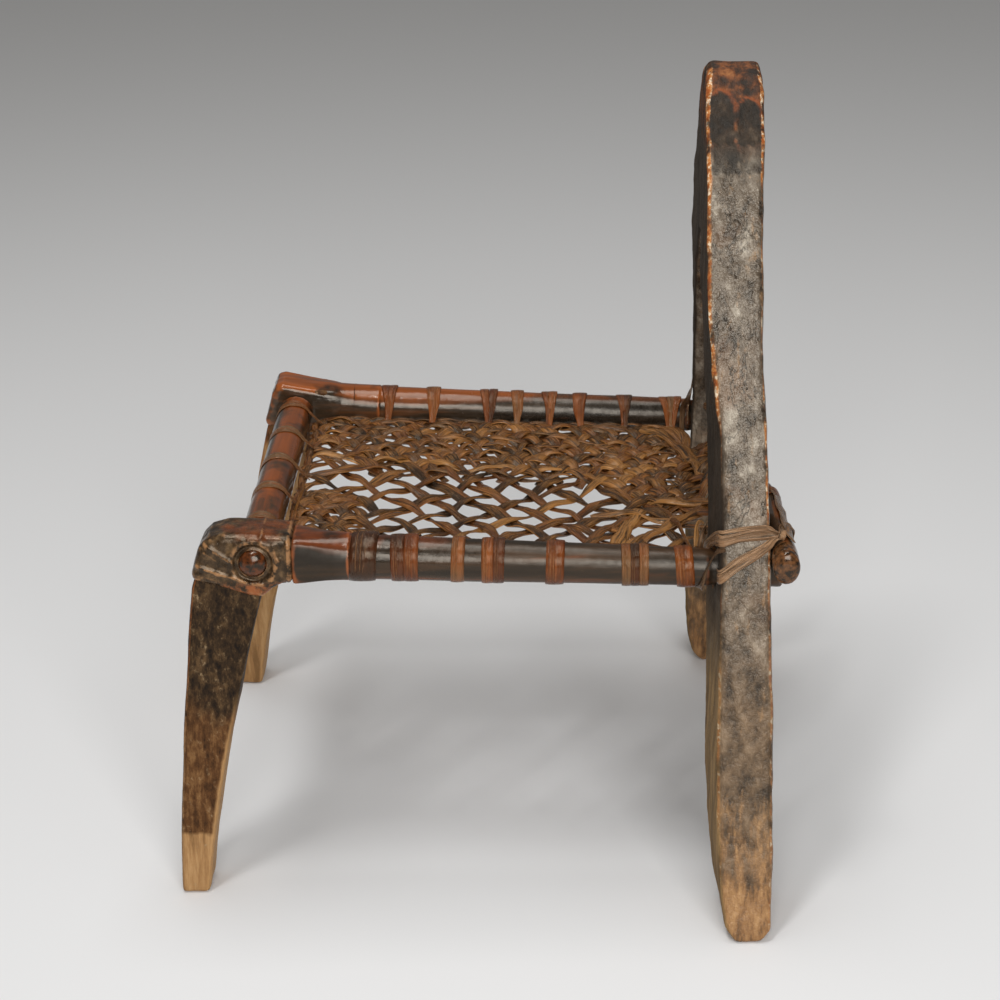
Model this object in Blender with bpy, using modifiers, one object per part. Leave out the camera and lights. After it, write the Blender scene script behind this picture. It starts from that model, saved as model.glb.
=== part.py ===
"""Child's chair: an arched plank back, two front legs, four rails and a laced hide seat.

Metres, +Z up. The floor is z = 0, the front of the chair faces -Y, and x = 0 is its middle plane.
"""
import math

import bmesh
import bpy
import numpy as np
from mathutils import Matrix, Vector

# Overall sizes
HEIGHT = 0.520
DEPTH = 0.408
FOOT_SPREAD = 0.474
CLEARANCE = 0.0003
EDGE_ANGLE = math.radians(40)

# Arched back: the half width at a height follows a power of the drop from the crown
CROWN_HEIGHT = 0.115
STILE_FOOT_WIDTH = 0.062
ARCH_POWER = 1.57
OPENING_POWER = 1.67
CROWN_ROUND = 0.03
ARCH_STEPS = 14
FOOT_REACHES = (0.96, 0.99, 1.0)
BACK_EDGE_ROUND = 0.003
# Share of the height, rear face offset, thickness at the inner edge, thinning at the outer edge
BACK_SECTIONS = (
    (0.00, 0.0005, 0.0240, 0.0020),
    (0.016, 0.0035, 0.0315, 0.0022),
    (0.05, 0.0043, 0.0362, 0.0026),
    (0.09, 0.0042, 0.0382, 0.0034),
    (0.20, 0.0040, 0.0408, 0.0050),
    (0.32, 0.0034, 0.0398, 0.0056),
    (0.41, 0.0026, 0.0385, 0.0062),
    (0.49, 0.0021, 0.0370, 0.0068),
    (0.59, 0.0003, 0.0360, 0.0065),
    (0.65, -0.0016, 0.0355, 0.0045),
    (0.72, -0.0030, 0.0352, 0.0000),
    (0.87, -0.0010, 0.0365, 0.0000),
    (1.00, 0.0010, 0.0378, 0.0000),
)

# Seat height at the front rail and at the back, measured at the rails' axes
SEAT_FRONT_Z = 0.2330
SEAT_REAR_Z = 0.2212

# Side rails: a squared block behind the leg's head, a tapering round, a round tenon through the stile
RAIL_INSET = 0.0285
BLOCK_LENGTH = 0.034
BLOCK_HALF = 0.0165
BLOCK_END_HALF = 0.0158
BLOCK_SHOULDER = 0.0035
RAIL_FRONT_RADIUS = 0.0148
RAIL_REAR_RADIUS = 0.0123
STUB_RADIUS = 0.0115
STUB_PROUD = 0.0090
TENON_HALF_WIDTH = 0.0080
TENON_HALF_HEIGHT = 0.0116
TENON_PAST_PEG = 0.0020
RAIL_SIDES = 20
# Powers of the rails' sections: 2 is round, and more is squarer
ROUND_POWER = 2
BLOCK_END_POWER = 4
BLOCK_POWER = 5
TENON_POWER = 8

# Front rail, with a peg at each end
TOE_TO_FRONT_RAIL = 0.0568
FRONT_RAIL_RADIUS = 0.0125
PEG_RADIUS = 0.0095
PEG_PROUD = 0.0032
PEG_DOME = 0.0030
ROUND_STEPS = 24

# Rear rail, oval, lying behind the stiles, notched over the stubs, thinner and bowed forwards between them
REAR_RAIL_HALF_DEPTH = 0.0085
REAR_RAIL_WAIST = 0.0062
REAR_RAIL_HALF_HEIGHT = 0.0115
REAR_RAIL_NOTCH = 0.0055
REAR_RAIL_PAST_STILE = 0.020
REAR_RAIL_DOME = 0.0045
REAR_RAIL_BOW = 0.016
BOW_HALF = 0.085
BOW_STEPS = 8
TAPER_STEPS = 4

# Front legs, sizes in the side view taken from the front rail's axis
LEG_HALF_WIDTH = 0.0150
LEFT_LEG_SPLAY = 0.0210
RIGHT_LEG_SPLAY = 0.0090
LEG_FOOT_DEPTH = 0.0180
LEG_TOP_DROP = 0.0180
LEG_FRONT_CURVE = 1.6
LEG_DEPTH_CURVE = 1.1
LEG_STEPS = 6
# Reach of the head's front at its foot and at its top, the leg's depth below the head, the head's rise
# at the front, and how far its slanted corner runs back and down
LEG_SHAPES = {
    "left": (0.0405, 0.0300, 0.0455, 0.0164, 0.0110, 0.0060),
    "right": (0.0240, 0.0140, 0.0425, 0.0166, 0.0085, 0.0070),
}
HEAD_REAR = 0.0240
HEAD_REAR_RISE = 0.0142
HEAD_UNDER_DROP = 0.0140
LEG_EDGE_ROUND = 0.0025

# Hide: sleeves, turns of the lacing and the lashing
HIDE = 0.0018
TURN_HIDE = 0.0011
SLEEVE_DROP = 0.0130
LASHING_DIAMETER = 0.0030
LASHING_LOOPS = 3
LASHING_PITCH = 0.0054
LASHING_CORNER = 0.0040
LASHING_EDGE_ROOM = 0.0036
LASHING_SLACK = 0.0002
GAP_STEP = 0.001
GAP_APART = 0.035

# Seat net
NET_THICKNESS = 0.0040
NET_DROP = 0.0040
NET_SAG = 0.0080
NET_RIM = 0.0040
NET_REAR_DROP = 0.0060
TONGUE_GAP = 0.0020
STRIP_WIDTH = 0.0085
GAP_ALONG = 0.031
GAP_ACROSS = 0.044
GAP_JITTER = 0.0024
NET_SEED = 7

# Turns of the lacing: share of the round stretch of the rail, and width
LEFT_TURNS = (
    (0.037, 0.015), (0.153, 0.016), (0.301, 0.007), (0.399, 0.013),
    (0.572, 0.010), (0.795, 0.016), (0.934, 0.010),
)
RIGHT_TURNS = (
    (0.029, 0.011), (0.172, 0.009), (0.353, 0.011), (0.444, 0.008),
    (0.548, 0.011), (0.652, 0.009), (0.791, 0.011), (0.940, 0.015),
)
FRONT_TURN_COUNT = 5
REAR_TURN_COUNT = 5
CROSS_TURN_WIDTH = 0.011
TURN_STEPS = 18

# Finishes: colour and roughness
DARK_WOOD = ((0.045, 0.022, 0.012, 1.0), 0.45)
RAIL_WOOD = ((0.080, 0.022, 0.010, 1.0), 0.30)
LEG_WOOD = ((0.060, 0.034, 0.018, 1.0), 0.50)
HIDE_BROWN = ((0.135, 0.070, 0.032, 1.0), 0.55)
HIDE_DARK = ((0.075, 0.034, 0.018, 1.0), 0.45)


def clear_scene():
    for old in list(bpy.data.objects):
        bpy.data.objects.remove(old, do_unlink=True)


def new_collection(name):
    group = bpy.data.collections.new(name)
    bpy.context.scene.collection.children.link(group)
    return group


clear_scene()
PARTS = new_collection("childs_chair")
CUTTERS = new_collection("cutters")


def finish(obj, look):
    """Gives a piece its own material and puts it with the other pieces."""
    colour, roughness = look
    material = bpy.data.materials.new(obj.name + "_finish")
    material.use_nodes = True
    shader = material.node_tree.nodes["Principled BSDF"]
    shader.inputs["Base Color"].default_value = colour
    shader.inputs["Roughness"].default_value = roughness
    shader.inputs["Metallic"].default_value = 0.0
    obj.data.materials.clear()
    obj.data.materials.append(material)
    PARTS.objects.link(obj)
    return obj


def as_cutter(obj):
    obj.hide_render = True
    obj.display_type = "WIRE"
    CUTTERS.objects.link(obj)
    return obj


def cut(obj, cutter):
    """Takes the cutter's shape out of a piece."""
    boolean = obj.modifiers.new("cut_" + cutter.name, "BOOLEAN")
    boolean.operation = "DIFFERENCE"
    boolean.solver = "EXACT"
    boolean.object = cutter


def round_edges(obj, width, segments=2):
    bevel = obj.modifiers.new("round_edges", "BEVEL")
    bevel.width = width
    bevel.segments = segments
    bevel.limit_method = "ANGLE"
    bevel.angle_limit = EDGE_ANGLE


def mesh_object(name, bm):
    bmesh.ops.recalc_face_normals(bm, faces=bm.faces)
    mesh = bpy.data.meshes.new(name)
    bm.to_mesh(mesh)
    bm.free()
    return bpy.data.objects.new(name, mesh)


def loft(name, rings):
    """A closed body through rings of as many points each, with flat ends."""
    bm = bmesh.new()
    rows = [[bm.verts.new(point) for point in ring] for ring in rings]
    for row, following in zip(rows, rows[1:]):
        for k in range(len(row)):
            j = (k + 1) % len(row)
            bm.faces.new((row[k], row[j], following[j], following[k]))
    bm.faces.new(rows[0])
    bm.faces.new(list(reversed(rows[-1])))
    return mesh_object(name, bm)


def curve_mesh(name, curve):
    """Turns a curve into a closed mesh with its caps welded on."""
    source = bpy.data.objects.new(name + "_curve", curve)
    bpy.context.scene.collection.objects.link(source)
    evaluated = source.evaluated_get(bpy.context.evaluated_depsgraph_get())
    mesh = bpy.data.meshes.new_from_object(evaluated)
    mesh.name = name
    place = source.matrix_world.copy()
    bpy.data.objects.remove(source, do_unlink=True)
    bm = bmesh.new()
    bm.from_mesh(mesh)
    bmesh.ops.remove_doubles(bm, verts=bm.verts, dist=1e-6)
    bmesh.ops.triangulate(bm, faces=bm.faces)
    bmesh.ops.recalc_face_normals(bm, faces=bm.faces)
    bm.to_mesh(mesh)
    bm.free()
    obj = bpy.data.objects.new(name, mesh)
    obj.matrix_world = place
    return obj


def plate(name, outlines, thickness):
    """A flat body: the first outline is its edge, and the others are its gaps."""
    curve = bpy.data.curves.new(name, "CURVE")
    curve.dimensions = "2D"
    curve.fill_mode = "BOTH"
    curve.extrude = thickness / 2
    for outline in outlines:
        spline = curve.splines.new("POLY")
        spline.points.add(len(outline) - 1)
        spline.use_cyclic_u = True
        for point, (u, v) in zip(spline.points, outline):
            point.co = (u, v, 0.0, 1.0)
    return curve_mesh(name, curve)


def tube(name, points, diameter):
    curve = bpy.data.curves.new(name, "CURVE")
    curve.dimensions = "3D"
    curve.bevel_depth = diameter / 2
    curve.bevel_resolution = 1
    curve.use_fill_caps = True
    spline = curve.splines.new("POLY")
    spline.points.add(len(points) - 1)
    for node, place in zip(spline.points, points):
        node.co = (place[0], place[1], place[2], 1.0)
    return curve_mesh(name, curve)


# Side view to chair: a plate's own x, y and z become the chair's y, z and x
SIDE_VIEW = Matrix(((0, 0, 1, 0), (1, 0, 0, 0), (0, 1, 0, 0), (0, 0, 0, 1)))
# Front view to chair: a plate's own x, y and z become the chair's x, z and y
FRONT_VIEW = Matrix(((1, 0, 0, 0), (0, 0, 1, 0), (0, 1, 0, 0), (0, 0, 0, 1)))


def smooth(t):
    t = min(max(t, 0.0), 1.0)
    return t * t * (3 - 2 * t)


# Arched back
OPENING_TOP = HEIGHT - CROWN_HEIGHT
OUTER_FOOT = FOOT_SPREAD / 2
INNER_FOOT = OUTER_FOOT - STILE_FOOT_WIDTH
CROWN_SPAN = math.hypot(1.0, CROWN_ROUND) - CROWN_ROUND


def arch_drop(reach, power):
    """Share of the arch's height lost at a share of its half width, rounded at the crown."""
    return ((math.hypot(reach, CROWN_ROUND) - CROWN_ROUND) / CROWN_SPAN) ** power


def arch_reach(drop, power):
    """The other way round: share of the half width at a share of the drop."""
    return math.sqrt((drop ** (1 / power) * CROWN_SPAN + CROWN_ROUND) ** 2 - CROWN_ROUND ** 2)


def stile_outer(z):
    return OUTER_FOOT * arch_reach((HEIGHT - z) / HEIGHT, ARCH_POWER)


def stile_inner(z):
    return INNER_FOOT * arch_reach((OPENING_TOP - z) / OPENING_TOP, OPENING_POWER)


def back_size(z, column):
    shares = [row[0] for row in BACK_SECTIONS]
    return float(np.interp(z / HEIGHT, shares, [row[column] for row in BACK_SECTIONS]))


# Rails' places, from the floor and the two ends of the chair
FRONT_RAIL_Y = TOE_TO_FRONT_RAIL - DEPTH / 2
LASHING_OFFSET = CLEARANCE + LASHING_SLACK + LASHING_DIAMETER / 2
REAR_RAIL_Y = DEPTH / 2 - LASHING_DIAMETER / 2 - LASHING_OFFSET - REAR_RAIL_HALF_DEPTH
REAR_RAIL_GUESS_Z = SEAT_REAR_Z + STUB_RADIUS + REAR_RAIL_HALF_HEIGHT - REAR_RAIL_NOTCH
BACK_Y = REAR_RAIL_Y - REAR_RAIL_HALF_DEPTH - CLEARANCE - max(
    back_size(REAR_RAIL_GUESS_Z, 1), back_size(SEAT_REAR_Z, 1) - CLEARANCE)


def rear_face(z):
    return BACK_Y + back_size(z, 1)


def front_face(z):
    return rear_face(z) - back_size(z, 2)


def front_outer_edge(z):
    return front_face(z) + back_size(z, 3)


RAIL_X = stile_outer(SEAT_REAR_Z) - RAIL_INSET
RAIL_SLOPE = (SEAT_REAR_Z - SEAT_FRONT_Z) / (BACK_Y - FRONT_RAIL_Y)


def rail_z(y):
    return SEAT_FRONT_Z + RAIL_SLOPE * (y - FRONT_RAIL_Y)


HEAD_REAR_Y = FRONT_RAIL_Y + HEAD_REAR
BLOCK_END_Y = HEAD_REAR_Y + BLOCK_LENGTH
ROUND_START_Y = BLOCK_END_Y + BLOCK_SHOULDER
SHOULDER_Y = front_face(SEAT_REAR_Z) - CLEARANCE
STUB_END_Y = rear_face(SEAT_REAR_Z) + STUB_PROUD
REAR_RAIL_Z = rail_z(REAR_RAIL_Y) + STUB_RADIUS + CLEARANCE + REAR_RAIL_HALF_HEIGHT - REAR_RAIL_NOTCH


def rail_radius(y):
    share = (y - ROUND_START_Y) / (SHOULDER_Y - ROUND_START_Y)
    return RAIL_FRONT_RADIUS + (RAIL_REAR_RADIUS - RAIL_FRONT_RADIUS) * min(max(share, 0.0), 1.0)


def make_back():
    rings = []
    reaches = [k / ARCH_STEPS for k in range(1, ARCH_STEPS)] + list(FOOT_REACHES)
    for place in [-reach for reach in reversed(reaches)] + [0.0] + reaches:
        reach = abs(place)
        z_out = HEIGHT * (1 - arch_drop(reach, ARCH_POWER))
        z_in = OPENING_TOP * (1 - arch_drop(reach, OPENING_POWER))
        x_out = OUTER_FOOT * place
        x_in = INNER_FOOT * place
        rings.append((
            (x_out, front_outer_edge(z_out), z_out),
            (x_out, rear_face(z_out), z_out),
            (x_in, rear_face(z_in), z_in),
            (x_in, front_face(z_in), z_in),
        ))
    back = loft("back_frame", rings)
    round_edges(back, BACK_EDGE_ROUND)
    for side, word in ((1, "left"), (-1, "right")):
        bore = rail_body("stile_bore_" + word, side, stub_stations(CLEARANCE, STUB_PROUD))
        cut(back, as_cutter(bore))
    return finish(back, DARK_WOOD)


def rail_ring(side, y, half_width, half_height, power):
    """One section of a side rail."""
    ring = []
    for k in range(RAIL_SIDES):
        angle = 2 * math.pi * (k + 0.5) / RAIL_SIDES
        c, s = math.cos(angle), math.sin(angle)
        u = math.copysign(abs(c) ** (2 / power), c) * half_width
        v = math.copysign(abs(s) ** (2 / power), s) * half_height
        ring.append((side * RAIL_X + u, y, rail_z(y) + v))
    return ring


def rail_body(name, side, stations):
    return loft(name, [rail_ring(side, *station) for station in stations])


def stub_stations(gap, beyond):
    radius = STUB_RADIUS + gap
    return (
        (SHOULDER_Y - beyond, radius, radius, ROUND_POWER),
        (STUB_END_Y + beyond, radius, radius, ROUND_POWER),
    )


def tenon_stations(gap, back_y):
    front_y = FRONT_RAIL_Y - PEG_RADIUS - TENON_PAST_PEG - gap
    half_width = TENON_HALF_WIDTH + gap
    half_height = TENON_HALF_HEIGHT + gap
    return (
        (front_y, half_width, half_height, TENON_POWER),
        (back_y, half_width, half_height, TENON_POWER),
    )


def cross_bore(name, side, radius):
    """A round cutter along the front rail's axis, at one side of the chair."""
    bm = bmesh.new()
    bmesh.ops.create_cone(
        bm, cap_ends=True, segments=ROUND_STEPS, radius1=radius, radius2=radius, depth=4 * LEG_HALF_WIDTH)
    bore = mesh_object(name, bm)
    bore.data.transform(Matrix.Rotation(math.pi / 2, 4, "Y"))
    bore.location = (side * RAIL_X, FRONT_RAIL_Y, SEAT_FRONT_Z)
    return as_cutter(bore)


def make_side_rail(side, word):
    block_start = HEAD_REAR_Y + CLEARANCE
    stations = (
        *tenon_stations(0.0, block_start),
        (block_start, BLOCK_HALF, BLOCK_HALF, BLOCK_POWER),
        (BLOCK_END_Y, BLOCK_END_HALF, BLOCK_END_HALF, BLOCK_END_POWER),
        (ROUND_START_Y, RAIL_FRONT_RADIUS, RAIL_FRONT_RADIUS, ROUND_POWER),
        (SHOULDER_Y, RAIL_REAR_RADIUS, RAIL_REAR_RADIUS, ROUND_POWER),
        *stub_stations(0.0, 0.0),
    )
    rail = rail_body("side_rail_" + word, side, stations)
    rail.data.shade_smooth()
    rail.data.set_sharp_from_angle(angle=EDGE_ANGLE)
    cut(rail, cross_bore("tenon_bore_" + word, side, PEG_RADIUS + CLEARANCE))
    return finish(rail, RAIL_WOOD)


def dome(radius, depth, tip, steps=4):
    """Profile of a rounded end: radius and height, from the tip outwards."""
    turns = [math.pi / 2 * k / steps for k in range(steps + 1)]
    return [(radius * math.sin(a), tip - depth * (1 - math.cos(a))) for a in turns]


SLEEVE_WALL = CLEARANCE + HIDE
PEG_TIP_X = RAIL_X + LEG_HALF_WIDTH + SLEEVE_WALL + PEG_PROUD
LEG_LEAN = max(LEFT_LEG_SPLAY, RIGHT_LEG_SPLAY) / SEAT_FRONT_Z
PEG_SHOULDER_X = RAIL_X - LEG_HALF_WIDTH - SLEEVE_WALL - CLEARANCE - LEG_LEAN * FRONT_RAIL_RADIUS


def make_front_rail():
    """A turned rail: the profile runs down its outer side and is spun about its axis."""
    half = dome(PEG_RADIUS, PEG_DOME, PEG_TIP_X)
    half += [(PEG_RADIUS, PEG_SHOULDER_X), (FRONT_RAIL_RADIUS, PEG_SHOULDER_X)]
    profile = half + [(radius, -height) for radius, height in reversed(half)]
    mesh = bpy.data.meshes.new("front_rail")
    points = [(radius, 0.0, height) for radius, height in profile]
    mesh.from_pydata(points, [(k, k + 1) for k in range(len(points) - 1)], [])
    rail = bpy.data.objects.new("front_rail", mesh)
    rail.rotation_euler = (0.0, math.pi / 2, 0.0)
    rail.location = (0.0, FRONT_RAIL_Y, SEAT_FRONT_Z)
    screw = rail.modifiers.new("turned", "SCREW")
    screw.axis = "Z"
    screw.steps = ROUND_STEPS
    screw.render_steps = ROUND_STEPS
    screw.use_merge_vertices = True
    screw.merge_threshold = 0.00001
    return finish(rail, RAIL_WOOD)


def rail_bow(x, depth):
    """How far a bowed rail lies ahead of its ends."""
    if abs(x) >= BOW_HALF:
        return 0.0
    return depth * math.cos(math.pi * x / BOW_HALF / 2) ** 2


def bow_angle(x, depth):
    """The bowed rail's turn about the upright."""
    if abs(x) >= BOW_HALF:
        return 0.0
    return math.atan(depth * math.pi / BOW_HALF / 2 * math.sin(math.pi * x / BOW_HALF))


REAR_RAIL_KNOB_X = stile_outer(REAR_RAIL_Z)


def rear_rail_half_depth(x):
    """The rail thins from the stile's outer edge to the start of its bow."""
    return float(np.interp(
        abs(x), (BOW_HALF, REAR_RAIL_KNOB_X), (REAR_RAIL_WAIST, REAR_RAIL_HALF_DEPTH)))


def rear_rail_y(x):
    """The rail's middle: its front face lies along the stiles."""
    return REAR_RAIL_Y - REAR_RAIL_HALF_DEPTH + rear_rail_half_depth(x) - rail_bow(x, REAR_RAIL_BOW)


def make_rear_rail():
    half_length = REAR_RAIL_KNOB_X + REAR_RAIL_PAST_STILE
    ends = dome(1.0, REAR_RAIL_DOME, half_length)[1:]
    stations = [(-x, share) for share, x in ends]
    behind = [BOW_HALF + (REAR_RAIL_KNOB_X - BOW_HALF) * k / TAPER_STEPS for k in range(TAPER_STEPS, 0, -1)]
    stations += [(-x, 1.0) for x in behind]
    stations += [(BOW_HALF * k / BOW_STEPS, 1.0) for k in range(-BOW_STEPS, BOW_STEPS + 1)]
    stations += [(x, 1.0) for x in reversed(behind)]
    stations += [(x, share) for share, x in reversed(ends)]
    rings = []
    for x, share in stations:
        ring = []
        for k in range(RAIL_SIDES):
            angle = 2 * math.pi * (k + 0.5) / RAIL_SIDES
            y = rear_rail_y(x) + rear_rail_half_depth(x) * share * math.cos(angle)
            z = REAR_RAIL_Z + REAR_RAIL_HALF_HEIGHT * share * math.sin(angle)
            ring.append((x, y, z))
        rings.append(ring)
    rail = loft("rear_rail", rings)
    rail.data.shade_smooth()
    rail.data.set_sharp_from_angle(angle=EDGE_ANGLE)
    for side, word in ((1, "left"), (-1, "right")):
        cut(rail, as_cutter(rail_body("saddle_" + word, side, stub_stations(CLEARANCE, STUB_PROUD))))
    return finish(rail, RAIL_WOOD)


# Front legs, in side view: u is measured from the front rail's axis, towards the back
LEG_TOP_Z = SEAT_FRONT_Z - LEG_TOP_DROP


def leg_edges(z, head_front, top_depth):
    """Front and rear edge of a leg at a height."""
    share = z / LEG_TOP_Z
    front = -head_front - (TOE_TO_FRONT_RAIL - head_front) * (1 - share ** LEG_FRONT_CURVE)
    rear = front + LEG_FOOT_DEPTH + (top_depth - LEG_FOOT_DEPTH) * share ** LEG_DEPTH_CURVE
    return (front, z), (rear, z)


def leg_splay(side):
    return LEFT_LEG_SPLAY if side > 0 else RIGHT_LEG_SPLAY


def lean(side):
    """The legs' feet stand a little further out than their heads."""
    matrix = Matrix.Identity(4)
    matrix[0][2] = -side * leg_splay(side) / SEAT_FRONT_Z
    matrix[0][3] = side * (RAIL_X + leg_splay(side))
    return matrix


def head_profile(word, bottom, rear):
    """A head in side view, from its front at a height over its top to a place behind."""
    reach_low, reach_top, _, rise, corner_back, corner_drop = LEG_SHAPES[word]
    top = SEAT_FRONT_Z + rise
    slant = (reach_low - reach_top) / (top - LEG_TOP_Z)
    corner = corner_back - reach_top
    fall = (rise - HEAD_REAR_RISE) / (HEAD_REAR - corner)
    return [
        (-reach_low + slant * (bottom - LEG_TOP_Z), bottom),
        (-reach_top - slant * corner_drop, top - corner_drop),
        (corner, top),
        (rear, top - fall * (rear - corner)),
        (rear, bottom),
    ]


def shifted(polygon, width):
    """Moves each edge of a convex outline to its left by a width."""
    count = len(polygon)
    lines = []
    for k in range(count):
        a, b = Vector(polygon[k]), Vector(polygon[(k + 1) % count])
        along = (b - a).normalized()
        lines.append((a + Vector((-along.y, along.x)) * width, along))
    corners = []
    for k in range(count):
        (p, d), (q, e) = lines[k - 1], lines[k]
        cross = d.x * e.y - d.y * e.x
        step = ((q.x - p.x) * e.y - (q.y - p.y) * e.x) / cross
        corners.append(p + d * step)
    return corners


def side_plate(name, outline, half_width, side):
    body = plate(name, [outline], 2 * half_width)
    place = Matrix.Translation((0.0, FRONT_RAIL_Y, 0.0))
    body.data.transform(place @ lean(side) @ SIDE_VIEW)
    return body


def make_front_leg(side, word):
    head_front, top_depth = LEG_SHAPES[word][0], LEG_SHAPES[word][2]
    edges = [leg_edges(LEG_TOP_Z * k / LEG_STEPS, head_front, top_depth) for k in range(LEG_STEPS + 1)]
    outline = [front for front, rear in edges]
    outline += head_profile(word, LEG_TOP_Z, HEAD_REAR)[1:-1]
    outline.append((HEAD_REAR, SEAT_FRONT_Z - HEAD_UNDER_DROP))
    outline += [rear for front, rear in reversed(edges)]
    leg = side_plate("front_leg_" + word, outline, LEG_HALF_WIDTH, side)
    round_edges(leg, LEG_EDGE_ROUND)
    mortise = rail_body("mortise_" + word, side, tenon_stations(CLEARANCE, BLOCK_END_Y))
    cut(leg, as_cutter(mortise))
    cut(leg, cross_bore("leg_bore_" + word, side, PEG_RADIUS + CLEARANCE))
    return finish(leg, LEG_WOOD)


def make_corner_sleeve(side, word):
    """Hide over the front, top and both cheeks of a leg's head, open below and behind."""
    low = SEAT_FRONT_Z - SLEEVE_DROP
    past = 2 * BLOCK_LENGTH
    outside = shifted(head_profile(word, low + SLEEVE_WALL, HEAD_REAR - SLEEVE_WALL), SLEEVE_WALL)
    inside = shifted(head_profile(word, low - past, past), CLEARANCE)
    wall = side_plate("corner_sleeve_" + word, outside, LEG_HALF_WIDTH + SLEEVE_WALL, side)
    hollow = side_plate("sleeve_hollow_" + word, inside, LEG_HALF_WIDTH + CLEARANCE, side)
    cut(wall, as_cutter(hollow))
    cut(wall, cross_bore("sleeve_bore_" + word, side, PEG_RADIUS + CLEARANCE))
    return finish(wall, HIDE_DARK)


# Seat net, in plan
NET_FRONT_Y = FRONT_RAIL_Y + FRONT_RAIL_RADIUS + CLEARANCE
NET_REAR_Y = REAR_RAIL_Y - REAR_RAIL_HALF_DEPTH - CLEARANCE
NET_STEP_Y = front_face(SEAT_REAR_Z) - CLEARANCE - NET_RIM
NET_REAR_Z = REAR_RAIL_Z - NET_REAR_DROP
LASHING_LOW_Z = rail_z(SHOULDER_Y) + RAIL_REAR_RADIUS + LASHING_OFFSET
LASHING_INNER_X = stile_inner(LASHING_LOW_Z + LASHING_PITCH * LASHING_LOOPS) - LASHING_OFFSET
LASHING_REACH = LASHING_PITCH * (LASHING_LOOPS - 1)
TONGUE_HALF = LASHING_INNER_X - LASHING_REACH - LASHING_DIAMETER / 2 - TONGUE_GAP
CORNER_REACH = LEG_HALF_WIDTH + SLEEVE_WALL + LEG_LEAN * FRONT_RAIL_RADIUS


def net_half_width(y):
    if y > NET_STEP_Y:
        return TONGUE_HALF
    reach = rail_radius(y) if y >= ROUND_START_Y else CORNER_REACH
    return RAIL_X - reach - CLEARANCE


def net_rear(x):
    return NET_REAR_Y - rail_bow(x, REAR_RAIL_BOW)


def net_z(x, y):
    """Height of the net's middle: it sags between the rails and climbs to the rear rail."""
    u = x / net_half_width(min(y, NET_STEP_Y))
    middle = (NET_FRONT_Y + NET_REAR_Y) / 2
    v = (y - middle) / (NET_REAR_Y - middle)
    sag = NET_SAG * max(0.0, 1 - u * u) ** 2 * max(0.0, 1 - v * v) ** 2
    level = rail_z(y) - NET_DROP - sag
    climb = smooth((y - NET_STEP_Y) / (net_rear(x) - NET_RIM - NET_STEP_Y))
    return level + climb * (NET_REAR_Z - level)


def net_gaps():
    """Lozenge gaps between crossing strips, a little uneven as hand lacing is."""
    rng = np.random.default_rng(NET_SEED)
    half_x, half_y = GAP_ACROSS / 2, GAP_ALONG / 2
    columns = int(RAIL_X / half_x) + 1
    rows = int((NET_REAR_Y - NET_FRONT_Y) / half_y) + 1
    crossing = {}
    for i in range(-1, rows + 2):
        for j in range(-columns - 1, columns + 2):
            dx, dy = rng.uniform(-GAP_JITTER, GAP_JITTER, 2)
            crossing[i, j] = (j * half_x + dx, NET_FRONT_Y + i * half_y + dy)
    gaps = []
    for i in range(rows + 1):
        for j in range(-columns, columns + 1):
            if (i + j) % 2 == 0:
                continue
            lozenge = (crossing[i, j + 1], crossing[i + 1, j], crossing[i, j - 1], crossing[i - 1, j])
            gap = shifted(lozenge, STRIP_WIDTH / 2)
            low, high = min(p.y for p in gap), max(p.y for p in gap)
            room = min(net_half_width(low), net_half_width(high)) - NET_RIM
            inside = low > NET_FRONT_Y + NET_RIM and all(p.y < net_rear(p.x) - NET_RIM for p in gap)
            if inside and max(abs(p.x) for p in gap) < room:
                gaps.append([(p.x, p.y) for p in gap])
    return gaps


def make_seat_net():
    block_x = net_half_width(NET_FRONT_Y)
    front_x = RAIL_X - RAIL_FRONT_RADIUS - CLEARANCE
    step_x = net_half_width(NET_STEP_Y)
    half = [
        (block_x, NET_FRONT_Y),
        (block_x, BLOCK_END_Y + CLEARANCE),
        (front_x, ROUND_START_Y),
        (step_x, NET_STEP_Y),
        (TONGUE_HALF, NET_STEP_Y),
    ]
    across = [TONGUE_HALF * k / BOW_STEPS for k in range(BOW_STEPS, -BOW_STEPS - 1, -1)]
    edge = half + [(x, net_rear(x)) for x in across] + [(-x, y) for x, y in reversed(half)]
    net = plate("seat_net", [edge] + net_gaps(), NET_THICKNESS)
    for vertex in net.data.vertices:
        vertex.co.z += net_z(vertex.co.x, vertex.co.y)
    return finish(net, HIDE_BROWN)


def turn_outline(half_u, half_v, slot_middle):
    """A strip round a rail, in section: u points away from the net, whose rim fills the slot."""
    low = slot_middle - NET_THICKNESS / 2 - CLEARANCE
    high = slot_middle + NET_THICKNESS / 2 + CLEARANCE

    def arc(grow):
        a, b = half_u + grow, half_v + grow
        first = -math.pi - math.asin(low / b)
        last = math.pi - math.asin(high / b)
        angles = [first + (last - first) * k / TURN_STEPS for k in range(TURN_STEPS + 1)]
        return [(a * math.cos(t), b * math.sin(t)) for t in angles]

    # Chords of the inner side run inside its arc, so the arc is drawn wider by their sag
    chord = 1 / math.cos(math.pi / TURN_STEPS)
    inner_grow = max(half_u, half_v) * (chord - 1) + CLEARANCE
    return arc(inner_grow + TURN_HIDE) + list(reversed(arc(inner_grow)))


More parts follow.
